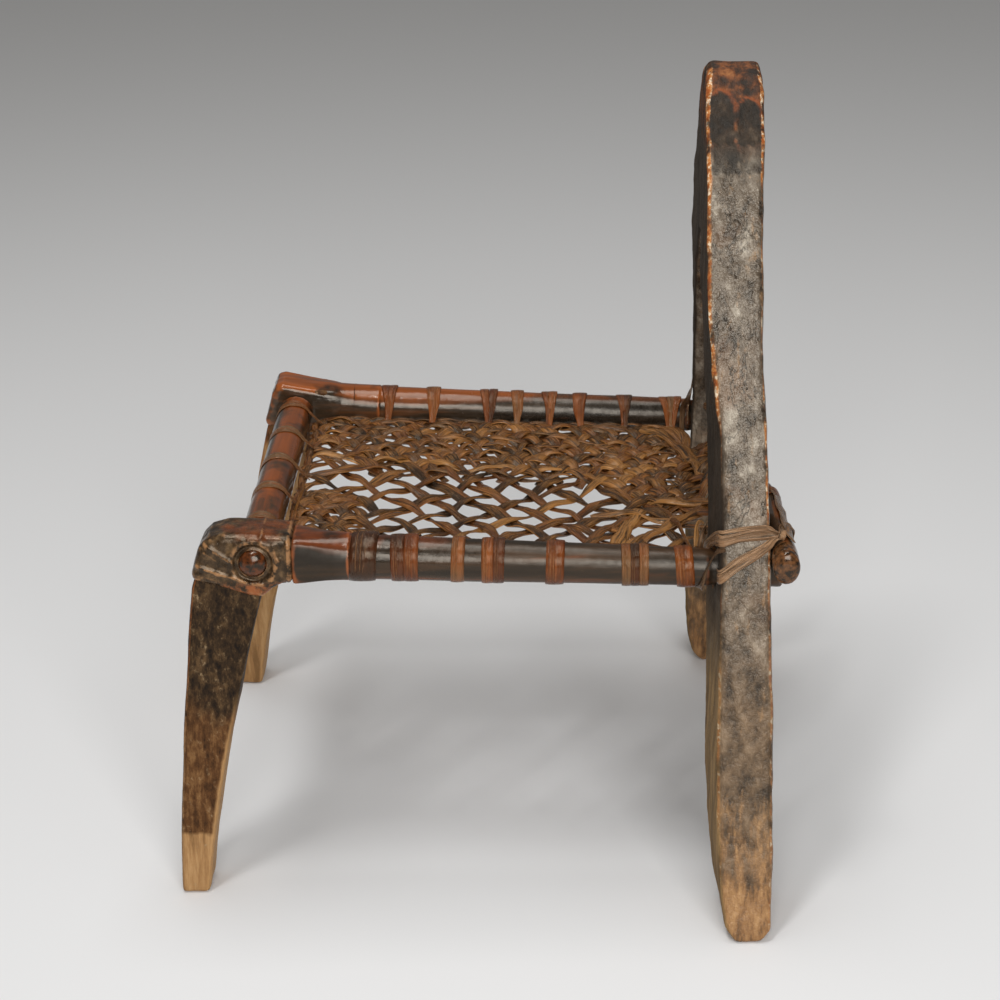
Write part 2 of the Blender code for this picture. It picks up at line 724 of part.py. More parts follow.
def make_side_turns(side, word, turns):
    tilt = Matrix.Rotation(math.atan(RAIL_SLOPE), 4, "X")
    flip = Matrix.Diagonal((side, 1, 1, 1))
    for number, (share, width) in enumerate(turns, 1):
        y = ROUND_START_Y + share * (SHOULDER_Y - ROUND_START_Y)
        radius = rail_radius(y - width / 2)
        slot = net_z(net_half_width(y), y) - rail_z(y)
        turn = plate("%s_turn_%d" % (word, number), [turn_outline(radius, radius, slot)], width)
        place = Matrix.Translation((side * RAIL_X, y, rail_z(y)))
        turn.data.transform(place @ tilt @ flip @ FRONT_VIEW)
        outwards(turn)
        finish(turn, HIDE_BROWN)


def outwards(obj):
    """Makes a mirrored body's faces point out again."""
    bm = bmesh.new()
    bm.from_mesh(obj.data)
    bmesh.ops.recalc_face_normals(bm, faces=bm.faces)
    bm.to_mesh(obj.data)
    bm.free()


def make_cross_turns(word, count, reach, middle_z, half_sizes, facing, rim_z, rail_line, bow):
    """Turns on the front or rear rail, spread over its reach each side of the middle."""
    outline = [(facing * u, v) for u, v in turn_outline(*half_sizes, rim_z - middle_z)]
    for number in range(1, count + 1):
        x = reach * (2 * (number - 1) / (count - 1) - 1)
        turn = plate("%s_turn_%d" % (word, number), [outline], CROSS_TURN_WIDTH)
        place = Matrix.Translation((x, rail_line(x), middle_z))
        turn.data.transform(place @ Matrix.Rotation(bow_angle(x, bow), 4, "Z") @ SIDE_VIEW)
        outwards(turn)
        finish(turn, HIDE_BROWN)


def rounded(corners, radius):
    """A path with three points at each corner, so that it bends round what it ties."""
    path = [Vector(corners[0])]
    for before, corner, after in zip(corners, corners[1:], corners[2:]):
        a, b, c = Vector(before), Vector(corner), Vector(after)
        start = b + (a - b).normalized() * radius
        end = b + (c - b).normalized() * radius
        middle = start * 0.25 + b * 0.5 + end * 0.25
        path += [start, middle, end]
    return path + [Vector(corners[-1])]


def lashing_corners(side):
    """Eight corners a loop: over the rear rail outside the stile, down, behind and under it inside."""
    corners = []
    rail_top = REAR_RAIL_Z + REAR_RAIL_HALF_HEIGHT + LASHING_OFFSET
    rail_low = REAR_RAIL_Z - REAR_RAIL_HALF_HEIGHT - LASHING_OFFSET
    rail_back = REAR_RAIL_Y + REAR_RAIL_HALF_DEPTH + LASHING_OFFSET
    waist_back = rear_rail_y(LASHING_INNER_X) + rear_rail_half_depth(LASHING_INNER_X) + LASHING_OFFSET
    rail_near = REAR_RAIL_Y - REAR_RAIL_HALF_DEPTH
    for loop in range(LASHING_LOOPS):
        shift = LASHING_PITCH * loop
        z = LASHING_LOW_Z + shift
        back_z = REAR_RAIL_Z + LASHING_REACH / 2 - shift
        ahead = front_face(z) - LASHING_OFFSET
        ahead_outer = front_outer_edge(z) - LASHING_OFFSET - LASHING_EDGE_ROOM
        inner = LASHING_INNER_X - LASHING_REACH + shift
        outer = stile_outer(LASHING_LOW_Z) + LASHING_OFFSET + shift
        corners += [
            (inner, ahead, z),
            (outer - shift / 2, ahead_outer, z + LASHING_PITCH / 2),
            (outer, rail_near, rail_top),
            (outer, rail_back, rail_top),
            (outer, rail_back, back_z),
            (inner, waist_back, back_z),
            (inner, waist_back, rail_low),
            (inner, rail_near, rail_low),
        ]
    return [(side * x, y, z) for x, y, z in corners]


def least_gap(path, diameter):
    """Least space between stretches of a winding that lie well apart along it."""
    points, runs, run = [], [], 0.0
    for start, end in zip(path, path[1:]):
        pieces = max(1, round((end - start).length / GAP_STEP))
        for k in range(pieces):
            points.append(start.lerp(end, k / pieces))
            runs.append(run + (end - start).length * k / pieces)
        run += (end - start).length
    points, runs = np.array(points), np.array(runs)
    best = math.inf
    for point, place in zip(points, runs):
        apart = points[np.abs(runs - place) > GAP_APART]
        best = min(best, float(np.min(np.linalg.norm(apart - point, axis=1))))
    return best - diameter


def make_rear_lashing(side, word):
    name = "rear_lashing_" + word
    points = rounded(lashing_corners(side), LASHING_CORNER)
    print("%s: least gap to itself %.2f mm" % (name, 1000 * least_gap(points, LASHING_DIAMETER)))
    lashing = tube(name, points, LASHING_DIAMETER)
    lashing.data.shade_smooth()
    return finish(lashing, HIDE_DARK)


make_back()
make_front_rail()
make_rear_rail()
make_seat_net()
for chair_side, side_word in ((1, "left"), (-1, "right")):
    make_front_leg(chair_side, side_word)
    make_side_rail(chair_side, side_word)
    make_corner_sleeve(chair_side, side_word)
    make_rear_lashing(chair_side, side_word)
make_side_turns(1, "left", LEFT_TURNS)
make_side_turns(-1, "right", RIGHT_TURNS)
make_cross_turns(
    "front", FRONT_TURN_COUNT, PEG_SHOULDER_X - BLOCK_HALF, SEAT_FRONT_Z,
    (FRONT_RAIL_RADIUS, FRONT_RAIL_RADIUS), -1, rail_z(NET_FRONT_Y) - NET_DROP, lambda x: FRONT_RAIL_Y, 0.0)
make_cross_turns(
    "rear", REAR_TURN_COUNT, TONGUE_HALF - CROSS_TURN_WIDTH / 2, REAR_RAIL_Z,
    (REAR_RAIL_WAIST, REAR_RAIL_HALF_HEIGHT), 1, NET_REAR_Z, rear_rail_y, REAR_RAIL_BOW)
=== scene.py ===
"""Looks of the child's chair: carved dark wood, glossy rails and a laced rawhide seat."""
import math

import bmesh
import bpy
import numpy as np
from mathutils import Matrix, Vector


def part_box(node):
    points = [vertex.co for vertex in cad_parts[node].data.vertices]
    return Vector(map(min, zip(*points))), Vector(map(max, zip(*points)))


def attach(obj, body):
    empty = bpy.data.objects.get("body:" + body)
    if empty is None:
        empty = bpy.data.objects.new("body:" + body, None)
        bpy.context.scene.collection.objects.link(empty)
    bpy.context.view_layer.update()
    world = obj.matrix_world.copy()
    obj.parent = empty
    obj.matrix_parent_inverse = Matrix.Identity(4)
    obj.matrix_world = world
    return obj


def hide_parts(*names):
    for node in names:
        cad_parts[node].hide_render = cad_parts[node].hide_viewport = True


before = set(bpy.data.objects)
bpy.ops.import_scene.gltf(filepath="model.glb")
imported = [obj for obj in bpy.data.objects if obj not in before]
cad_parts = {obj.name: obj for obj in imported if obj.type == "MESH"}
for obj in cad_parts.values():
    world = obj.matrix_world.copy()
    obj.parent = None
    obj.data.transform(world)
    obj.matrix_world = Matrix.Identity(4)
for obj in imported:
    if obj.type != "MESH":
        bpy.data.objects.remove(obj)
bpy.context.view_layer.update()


# Places taken from the pieces
def box(node):
    low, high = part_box(node)
    return np.array(low), np.array(high)


RAIL_LOW, RAIL_HIGH = box("side_rail_left")
NET_LOW, NET_HIGH = box("seat_net")
REAR_LOW, REAR_HIGH = box("rear_rail")
FRONT_LOW, FRONT_HIGH = box("front_rail")
RAIL_X = (RAIL_LOW[0] + RAIL_HIGH[0]) / 2
FRONT_RAIL_Y = (FRONT_LOW[1] + FRONT_HIGH[1]) / 2
FRONT_RAIL_Z = (FRONT_LOW[2] + FRONT_HIGH[2]) / 2
REAR_RAIL_Z = (REAR_LOW[2] + REAR_HIGH[2]) / 2
REAR_RAIL_Y = REAR_HIGH[1] - 0.0085
KNOB_X = REAR_HIGH[0]
PEG_X = FRONT_HIGH[0]
TONGUE_HALF = box("rear_turn_5")[1][0]
RAIL_SLOPE = -0.03595
BOW_HALF = 0.085
BOW = 0.016
BLOCK_END_Y = -0.0892
ROUND_START_Y = -0.0857
NEAR_EASE_Y = -0.1240
FAR_EASE_Y = -0.1640
STILE_FRONT_Y = 0.1449
CROWN_MIDDLE_Y = 0.1635


def rail_z(y):
    return FRONT_RAIL_Z + RAIL_SLOPE * (y - FRONT_RAIL_Y)


def rail_radius(y):
    return np.interp(y, (ROUND_START_Y, STILE_FRONT_Y), (0.0148, 0.0123))


def smooth(t):
    t = np.clip(t, 0.0, 1.0)
    return t * t * (3 - 2 * t)


def bow(x):
    return BOW * np.cos(math.pi * np.clip(x / BOW_HALF, -1, 1) / 2) ** 2


def net_half(y):
    """Half width of the seat between the side rails."""
    return np.where(y < BLOCK_END_Y, 0.1225, RAIL_X - rail_radius(y) - 0.0003)


def net_rear(x):
    return REAR_RAIL_Y - 0.0088 - bow(x)


def net_z(x, y):
    """Height of the seat: it sags between the rails and climbs to the rear rail."""
    u = np.clip(x / net_half(np.minimum(y, STILE_FRONT_Y)), -1, 1)
    middle = (NET_LOW[1] + NET_HIGH[1]) / 2
    v = np.clip((y - middle) / (NET_HIGH[1] - middle), -1, 1)
    level = rail_z(y) - 0.004 - 0.008 * (1 - u * u) ** 2 * (1 - v * v) ** 2
    start = STILE_FRONT_Y - 0.004
    climb = smooth((y - start) / np.maximum(net_rear(x) - 0.004 - start, 0.01))
    return level + climb * (REAR_RAIL_Z - 0.006 - level)


def inside_seat(x, y, room=0.002):
    """True where a strip can lie: between the rails, and between the stiles at the rear."""
    rear = np.where(np.abs(x) < TONGUE_HALF - room, net_rear(x) - room, STILE_FRONT_Y - 0.004)
    return (np.abs(x) < net_half(y) - room) & (y > NET_LOW[1] + room) & (y < rear)


# Geometry node trees
class Tree:
    """A geometry node tree with named inputs after the geometry."""

    def __init__(self, name, inputs):
        self.tree = bpy.data.node_groups.new(name, "GeometryNodeTree")
        face = self.tree.interface
        face.new_socket("Geometry", in_out="INPUT", socket_type="NodeSocketGeometry")
        for title, kind in inputs:
            face.new_socket(title, in_out="INPUT", socket_type=kind)
        face.new_socket("Geometry", in_out="OUTPUT", socket_type="NodeSocketGeometry")
        self.entry = self.tree.nodes.new("NodeGroupInput").outputs
        self.exit = self.tree.nodes.new("NodeGroupOutput").inputs

    def add(self, kind, sockets=None, **settings):
        node = self.tree.nodes.new(kind)
        for key, value in settings.items():
            setattr(node, key, value)
        for key, value in (sockets or {}).items():
            if isinstance(value, bpy.types.NodeSocket):
                self.tree.links.new(value, node.inputs[key])
            else:
                node.inputs[key].default_value = value
        return node.outputs

    def close(self, geometry):
        """Realizes what is left of instances, shades it smooth and gives it its finish."""
        whole = self.add("GeometryNodeRealizeInstances", {"Geometry": geometry})
        even = self.add("GeometryNodeSetShadeSmooth", {"Geometry": whole[0]})
        painted = self.add("GeometryNodeSetMaterial", {"Geometry": even[0], "Material": self.entry["Finish"]})
        self.tree.links.new(painted[0], self.exit[0])

    def put_on(self, obj, values):
        modifier = obj.modifiers.new(self.tree.name, "NODES")
        modifier.node_group = self.tree
        for item in self.tree.interface.items_tree:
            if item.item_type == "SOCKET" and item.in_out == "INPUT" and item.name in values:
                modifier[item.identifier] = values[item.name]


def carving_tree():
    """Adze scoops, smaller dents and long ripples, as an offset along the surface's own normal."""
    tree = Tree("carving", [
        ("Scoop size", "NodeSocketFloat"), ("Scoop depth", "NodeSocketFloat"),
        ("Dent size", "NodeSocketFloat"), ("Dent depth", "NodeSocketFloat"),
        ("Ripple size", "NodeSocketFloat"), ("Ripple depth", "NodeSocketFloat"),
        ("Grain", "NodeSocketVector"), ("Finish", "NodeSocketMaterial"),
    ])
    place = tree.add("GeometryNodeInputPosition")[0]
    along = tree.add("ShaderNodeVectorMath", {0: place, 1: tree.entry["Grain"]}, operation="MULTIPLY")[0]

    def scale_of(title):
        return tree.add("ShaderNodeMath", {0: 1.0, 1: tree.entry[title]}, operation="DIVIDE")[0]

    def hollows(title):
        cells = tree.add(
            "ShaderNodeTexVoronoi", {"Vector": along, "Scale": scale_of(title + " size"), "Smoothness": 0.25},
            feature="SMOOTH_F1")["Distance"]
        squared = tree.add("ShaderNodeMath", {0: cells, 1: 2.0}, operation="POWER")[0]
        level = tree.add("ShaderNodeMath", {0: squared, 1: 0.28}, operation="SUBTRACT")[0]
        return tree.add("ShaderNodeMath", {0: level, 1: tree.entry[title + " depth"]}, operation="MULTIPLY")[0]

    cut = tree.add("ShaderNodeMath", {0: hollows("Scoop"), 1: hollows("Dent")}, operation="ADD")[0]
    ripples = tree.add(
        "ShaderNodeTexNoise", {"Vector": along, "Scale": scale_of("Ripple size"), "Detail": 3.0})["Fac"]
    centred = tree.add("ShaderNodeMath", {0: ripples, 1: 0.5}, operation="SUBTRACT")[0]
    swell = tree.add("ShaderNodeMath", {0: centred, 1: tree.entry["Ripple depth"]}, operation="MULTIPLY")[0]
    total = tree.add("ShaderNodeMath", {0: cut, 1: swell}, operation="ADD")[0]
    normal = tree.add("GeometryNodeInputNormal")[0]
    offset = tree.add("ShaderNodeVectorMath", {0: normal, "Scale": total}, operation="SCALE")[0]
    moved = tree.add("GeometryNodeSetPosition", {"Geometry": tree.entry["Geometry"], "Offset": offset})
    tree.close(moved[0])
    return tree


def strip_tree():
    """Hide strips: each line of points becomes a flat strip with its own width, facing and fibres."""
    tree = Tree("hide_strips", [
        ("Flatness", "NodeSocketFloat"), ("Fibre depth", "NodeSocketFloat"), ("Finish", "NodeSocketMaterial"),
    ])
    line = tree.add("GeometryNodeMeshToCurve", {"Mesh": tree.entry["Geometry"]})[0]
    facing = tree.add("GeometryNodeInputNamedAttribute", {"Name": "facing"}, data_type="FLOAT_VECTOR")[0]
    line = tree.add("GeometryNodeSetCurveNormal", {"Curve": line, "Normal": facing}, mode="FREE")[0]
    run = tree.add("GeometryNodeSplineParameter")
    line = tree.add(
        "GeometryNodeStoreNamedAttribute", {"Geometry": line, "Name": "along", "Value": run["Length"]},
        data_type="FLOAT", domain="POINT")[0]
    ring = tree.add("GeometryNodeCurvePrimitiveCircle", {"Resolution": 10, "Radius": 1.0})[0]
    turn = tree.add("GeometryNodeSplineParameter")
    ring = tree.add(
        "GeometryNodeStoreNamedAttribute", {"Geometry": ring, "Name": "across", "Value": turn["Factor"]},
        data_type="FLOAT", domain="POINT")[0]
    place = tree.add("GeometryNodeInputPosition")[0]
    parts = tree.add("ShaderNodeSeparateXYZ", {0: place})
    thin = tree.add("ShaderNodeMath", {0: parts["X"], 1: tree.entry["Flatness"]}, operation="MULTIPLY")[0]
    flat = tree.add("ShaderNodeCombineXYZ", {"X": thin, "Y": parts["Y"], "Z": parts["Z"]})[0]
    ring = tree.add("GeometryNodeSetPosition", {"Geometry": ring, "Position": flat})[0]
    breadth = tree.add("GeometryNodeInputNamedAttribute", {"Name": "breadth"}, data_type="FLOAT")[0]
    body = tree.add("GeometryNodeCurveToMesh", {
        "Curve": line, "Profile Curve": ring, "Scale": breadth, "Fill Caps": True})[0]
    length = tree.add("GeometryNodeInputNamedAttribute", {"Name": "along"}, data_type="FLOAT")[0]
    girth = tree.add("GeometryNodeInputNamedAttribute", {"Name": "across"}, data_type="FLOAT")[0]
    tone = tree.add("GeometryNodeInputNamedAttribute", {"Name": "tone"}, data_type="FLOAT")[0]
    u = tree.add("ShaderNodeMath", {0: length, 1: 70.0}, operation="MULTIPLY")[0]
    v = tree.add("ShaderNodeMath", {0: girth, 1: 9.0}, operation="MULTIPLY")[0]
    w = tree.add("ShaderNodeMath", {0: tone, 1: 80.0}, operation="MULTIPLY")[0]
    spot = tree.add("ShaderNodeCombineXYZ", {"X": u, "Y": v, "Z": w})[0]
    noise = tree.add("ShaderNodeTexNoise", {"Vector": spot, "Scale": 1.0, "Detail": 3.0})["Fac"]
    centred = tree.add("ShaderNodeMath", {0: noise, 1: 0.5}, operation="SUBTRACT")[0]
    depth = tree.add("ShaderNodeMath", {0: centred, 1: tree.entry["Fibre depth"]}, operation="MULTIPLY")[0]
    normal = tree.add("GeometryNodeInputNormal")[0]
    offset = tree.add("ShaderNodeVectorMath", {0: normal, "Scale": depth}, operation="SCALE")[0]
    moved = tree.add("GeometryNodeSetPosition", {"Geometry": body, "Offset": offset})
    tree.close(moved[0])
    return tree


CARVING = carving_tree()
STRIPS = strip_tree()


# Materials
class Paint:
    """A node material around one principled shader, in metres of the chair's own frame."""

    def __init__(self, name):
        self.material = bpy.data.materials.new(name)
        self.material.use_nodes = True
        self.tree = self.material.node_tree
        self.shader = self.tree.nodes["Principled BSDF"]
        self.place = self.add("ShaderNodeTexCoord")["Object"]
        self.spot = self.add("ShaderNodeSeparateXYZ", {0: self.place})
        self.facing = self.add("ShaderNodeSeparateXYZ", {0: self.add("ShaderNodeNewGeometry")["Normal"]})

    def add(self, kind, sockets=None, **settings):
        node = self.tree.nodes.new(kind)
        for key, value in settings.items():
            setattr(node, key, value)
        for key, value in (sockets or {}).items():
            self.put(node, key, value)
        return node.outputs

    def put(self, node, key, value):
        if isinstance(value, bpy.types.NodeSocket):
            self.tree.links.new(value, node.inputs[key])
        else:
            node.inputs[key].default_value = value

    def set(self, key, value):
        self.put(self.shader, key, value)

    def attribute(self, name):
        return self.add("ShaderNodeAttribute", attribute_name=name)["Fac"]

    def stretch(self, scale, vector=None):
        return self.add("ShaderNodeMapping", {"Vector": vector or self.place, "Scale": scale})[0]

    def noise(self, scale, detail=4.0, roughness=0.55, vector=None, distortion=0.0):
        return self.add("ShaderNodeTexNoise", {
            "Vector": vector or self.place, "Scale": scale, "Detail": detail, "Roughness": roughness,
            "Distortion": distortion})["Fac"]

    def span(self, value, low, high, start=0.0, end=1.0):
        return self.add("ShaderNodeMapRange", {
            "Value": value, "From Min": low, "From Max": high, "To Min": start, "To Max": end})[0]

    def ramp(self, value, *stops):
        node = self.tree.nodes.new("ShaderNodeValToRGB")
        band = node.color_ramp
        while len(band.elements) < len(stops):
            band.elements.new(0.5)
        for element, (position, colour) in zip(band.elements, stops):
            element.position = position
            element.color = (*colour, 1.0)
        self.tree.links.new(value, node.inputs["Fac"])
        return node.outputs["Color"]

    def mix(self, share, first, second):
        node = self.tree.nodes.new("ShaderNodeMix")
        node.data_type = "RGBA"
        for index, value in ((0, share), (6, first), (7, second)):
            if isinstance(value, tuple):
                value = (*value, 1.0)
            self.put(node, index, value)
        return node.outputs[2]

    def math(self, operation, first, second=0.0):
        return self.add("ShaderNodeMath", {0: first, 1: second}, operation=operation)[0]

    def times(self, first, second):
        return self.math("MULTIPLY", first, second)

    def plus(self, first, second):
        return self.math("ADD", first, second)

    def corner(self, part):
        """Near 1 where the surface turns between one direction and the others, and 0 on flat faces."""
        square = self.times(part, part)
        return self.times(self.times(square, self.math("SUBTRACT", 1.0, square)), 4.0)

    def bump(self, *layers):
        """Layers of (height, strength, distance), the coarsest first."""
        normal = None
        for value, strength, distance in layers:
            sockets = {"Height": value, "Strength": strength, "Distance": distance}
            if normal is not None:
                sockets["Normal"] = normal
            normal = self.add("ShaderNodeBump", sockets)[0]
        self.set("Normal", normal)


def back_wood():
    """Dark hammered gloss, orange worn corners with painted white highlights beside them, darker in front as painted
    shade with painted bounce light low down, matt brown and tan at the feet.
    """
    paint = Paint("back_wood")
    height = paint.spot["Z"]
    broad = paint.noise(18.0, 4.0, 0.6)
    pits = paint.noise(85.0, 5.0, 0.65, paint.stretch((1.0, 1.0, 0.6)))
    hammer = paint.noise(260.0, 3.0, 0.6)
    grain = paint.noise(60.0, 5.0, 0.6, paint.stretch((1.0, 1.0, 0.12)))
    # The palest stop is partly the grey film's own colour and partly painted sheen on the hammered peaks.
    base = paint.ramp(
        pits, (0.36, (0.016, 0.011, 0.007)), (0.46, (0.090, 0.066, 0.045)), (0.57, (0.165, 0.130, 0.095)),
        (0.68, (0.330, 0.282, 0.220)))
    base = paint.mix(paint.span(broad, 0.54, 0.68, 0.0, 0.55), base, (0.180, 0.095, 0.050))
    split = paint.noise(42.0, 5.0, 0.6, paint.stretch((1.0, 1.0, 0.40)), 0.6)
    crack = paint.span(paint.math("ABSOLUTE", paint.math("SUBTRACT", split, 0.5)), 0.016, 0.004)
    crack = paint.times(crack, paint.span(broad, 0.40, 0.56, 0.0, 0.85))
    base = paint.mix(crack, base, (0.014, 0.009, 0.005))
    low = paint.plus(paint.span(height, 0.27, 0.12), paint.span(broad, 0.30, 0.70, -0.2, 0.2))
    brown = paint.ramp(
        pits, (0.36, (0.026, 0.014, 0.006)), (0.50, (0.110, 0.064, 0.031)), (0.66, (0.210, 0.130, 0.068)))
    base = paint.mix(paint.span(low, 0.1, 0.9, 0.0, 0.85), base, brown)
    fibre = paint.noise(150.0, 5.0, 0.7, paint.stretch((1.0, 1.0, 0.10)))
    foot = paint.plus(paint.span(height, 0.105, 0.018), paint.span(fibre, 0.30, 0.70, -0.45, 0.45))
    tan = paint.ramp(
        fibre, (0.34, (0.090, 0.040, 0.014)), (0.48, (0.270, 0.132, 0.048)), (0.66, (0.430, 0.235, 0.095)))
    base = paint.mix(paint.span(foot, 0.2, 0.9), base, tan)
    front = paint.span(paint.facing["Y"], -0.35, -0.80)
    # Painted bounce light: the lower part of the front-facing side is painted a lighter olive brown, as if lit from the
    # floor.
    painted_bounce_light = paint.ramp(fibre, (0.36, (0.120, 0.072, 0.028)), (0.62, (0.330, 0.205, 0.085)))
    base = paint.mix(paint.times(front, paint.span(height, 0.215, 0.150, 0.0, 0.9)), base, painted_bounce_light)
    # Painted shade: above that, the front-facing side is painted near black, as the side the light does not reach.
    shade = paint.ramp(grain, (0.35, (0.010, 0.005, 0.002)), (0.65, (0.034, 0.018, 0.008)))
    base = paint.mix(paint.times(front, paint.span(height, 0.150, 0.215, 0.0, 0.94)), base, shade)
    rind = paint.ramp(
        pits, (0.38, (0.006, 0.002, 0.001)), (0.49, (0.048, 0.012, 0.002)), (0.60, (0.170, 0.046, 0.007)),
        (0.74, (0.360, 0.135, 0.032)))
    base = paint.mix(paint.span(height, 0.468, 0.486, 0.0, 0.95), base, rind)
    bed = paint.ramp(
        pits, (0.40, (0.002, 0.001, 0.001)), (0.60, (0.012, 0.007, 0.003)), (0.76, (0.060, 0.042, 0.026)))
    base = paint.mix(paint.times(paint.attribute("bed"), 0.95), base, bed)
    rim = paint.times(paint.attribute("rim"), paint.span(pits, 0.36, 0.52, 0.25, 1.0))
    base = paint.mix(rim, base, (0.210, 0.046, 0.007))
    outward = paint.times(paint.facing["X"], paint.math("SIGN", paint.spot["X"]))
    corner = paint.times(paint.corner(paint.facing["Y"]), paint.span(outward, -0.1, 0.3))
    ahead = paint.span(paint.facing["Y"], 0.1, -0.1, 0.0, 0.32)
    aside = paint.math("ABSOLUTE", paint.math("SUBTRACT", paint.spot["Y"], CROWN_MIDDLE_Y))
    corner = paint.times(corner, paint.span(height, 0.455, 0.475, 1.0, 2.2))
    corner = paint.times(corner, paint.span(aside, 0.010, 0.016))
    line = paint.times(paint.span(paint.plus(corner, ahead), 0.48, 0.88), paint.span(pits, 0.41, 0.55, 0.05, 1.0))
    # Orange wear along the corners, reaching wider on front-facing faces; the palest stop of this ramp is a painted
    # white highlight beside the wear.
    rubbed = paint.ramp(
        hammer, (0.40, (0.300, 0.070, 0.010)), (0.54, (0.500, 0.200, 0.050)), (0.64, (0.850, 0.680, 0.480)))
    base = paint.mix(paint.times(line, paint.span(height, 0.18, 0.30, 0.45, 1.0)), base, rubbed)
    paint.set("Base Color", base)
    dull = paint.plus(paint.times(front, 0.75), paint.span(low, 0.1, 0.9, 0.0, 0.22))
    dull = paint.plus(dull, paint.span(height, 0.452, 0.478, 0.0, 0.45))
    paint.set("Roughness", paint.plus(paint.span(hammer, 0.34, 0.66, 0.17, 0.30), dull))
    paint.set("Specular Tint", (1.0, 0.92, 0.80, 1.0))
    paint.bump((pits, 0.60, 0.0030), (hammer, 0.80, 0.0013), (paint.noise(700.0, 2.0), 0.30, 0.0003))
    return paint.material


def leg_wood(name, brown_z, tan_z):
    """Dark at the head, brown below one height and tan below another, with painted light on the lower rear-facing side.
    """
    paint = Paint(name)
    height = paint.spot["Z"]
    broad = paint.noise(24.0, 4.0, 0.6)
    mottle = paint.noise(170.0, 6.0, 0.74, paint.stretch((1.0, 1.0, 0.55)))
    fine = paint.noise(260.0, 5.0, 0.65)
    grain = paint.noise(170.0, 5.0, 0.70, paint.stretch((1.0, 1.0, 0.10)))
    base = paint.ramp(
        mottle, (0.36, (0.008, 0.004, 0.002)), (0.50, (0.034, 0.018, 0.007)), (0.66, (0.105, 0.058, 0.024)))
    weave = paint.plus(paint.times(mottle, 0.5), paint.times(grain, 0.5))
    brown = paint.ramp(
        weave, (0.38, (0.020, 0.008, 0.002)), (0.50, (0.098, 0.040, 0.012)), (0.62, (0.220, 0.110, 0.040)))
    tan = paint.ramp(
        grain, (0.36, (0.230, 0.120, 0.046)), (0.50, (0.370, 0.200, 0.080)), (0.66, (0.500, 0.300, 0.135)))
    level = paint.plus(height, paint.span(broad, 0.30, 0.70, -0.030, 0.030))
    base = paint.mix(paint.span(level, brown_z + 0.020, brown_z - 0.020), base, brown)
    ledge = paint.plus(height, paint.span(broad, 0.30, 0.70, -0.004, 0.004))
    base = paint.mix(paint.span(ledge, tan_z + 0.002, tan_z - 0.001, 0.0, 0.95), base, tan)
    # Painted light: the lower rear-facing side is painted pale tan, standing in for a lit bevel.
    rear = paint.times(paint.span(paint.facing["Y"], 0.15, 0.50), paint.span(height, 0.145, 0.100))
    base = paint.mix(paint.times(rear, 0.9), base, (0.480, 0.270, 0.110))
    edge = paint.span(paint.corner(paint.facing["X"]), 0.60, 0.95)
    behind = paint.times(paint.span(paint.facing["Y"], -0.1, 0.1), paint.span(height, 0.115, 0.135))
    edge = paint.times(edge, paint.span(behind, 0.0, 1.0, 1.0, 0.0))
    rubbed = paint.ramp(height, (0.10, (0.330, 0.185, 0.080)), (0.17, (0.260, 0.080, 0.022)))
    base = paint.mix(paint.times(edge, paint.span(mottle, 0.40, 0.58, 0.0, 0.75)), base, rubbed)
    scrape = paint.times(paint.span(fine, 0.55, 0.70), paint.span(mottle, 0.50, 0.62))
    base = paint.mix(paint.times(scrape, 0.8), base, (0.340, 0.240, 0.135))
    paint.set("Base Color", base)
    paint.set("Roughness", paint.span(fine, 0.30, 0.70, 0.42, 0.66))
    paint.set("Specular IOR Level", 0.14)
    paint.bump((mottle, 0.50, 0.0016), (grain, 0.45, 0.0007), (fine, 0.40, 0.0005))
    return paint.material


RAIL_BLACK = ((0.006, 0.003, 0.001), (0.020, 0.011, 0.005), (0.050, 0.022, 0.008), (0.170, 0.042, 0.009))
RAIL_GREY = ((0.006, 0.004, 0.003), (0.016, 0.011, 0.007), (0.034, 0.021, 0.012), (0.110, 0.040, 0.014))
RAIL_BROWN = ((0.018, 0.010, 0.005), (0.045, 0.024, 0.012), (0.085, 0.042, 0.019), (0.150, 0.075, 0.033))


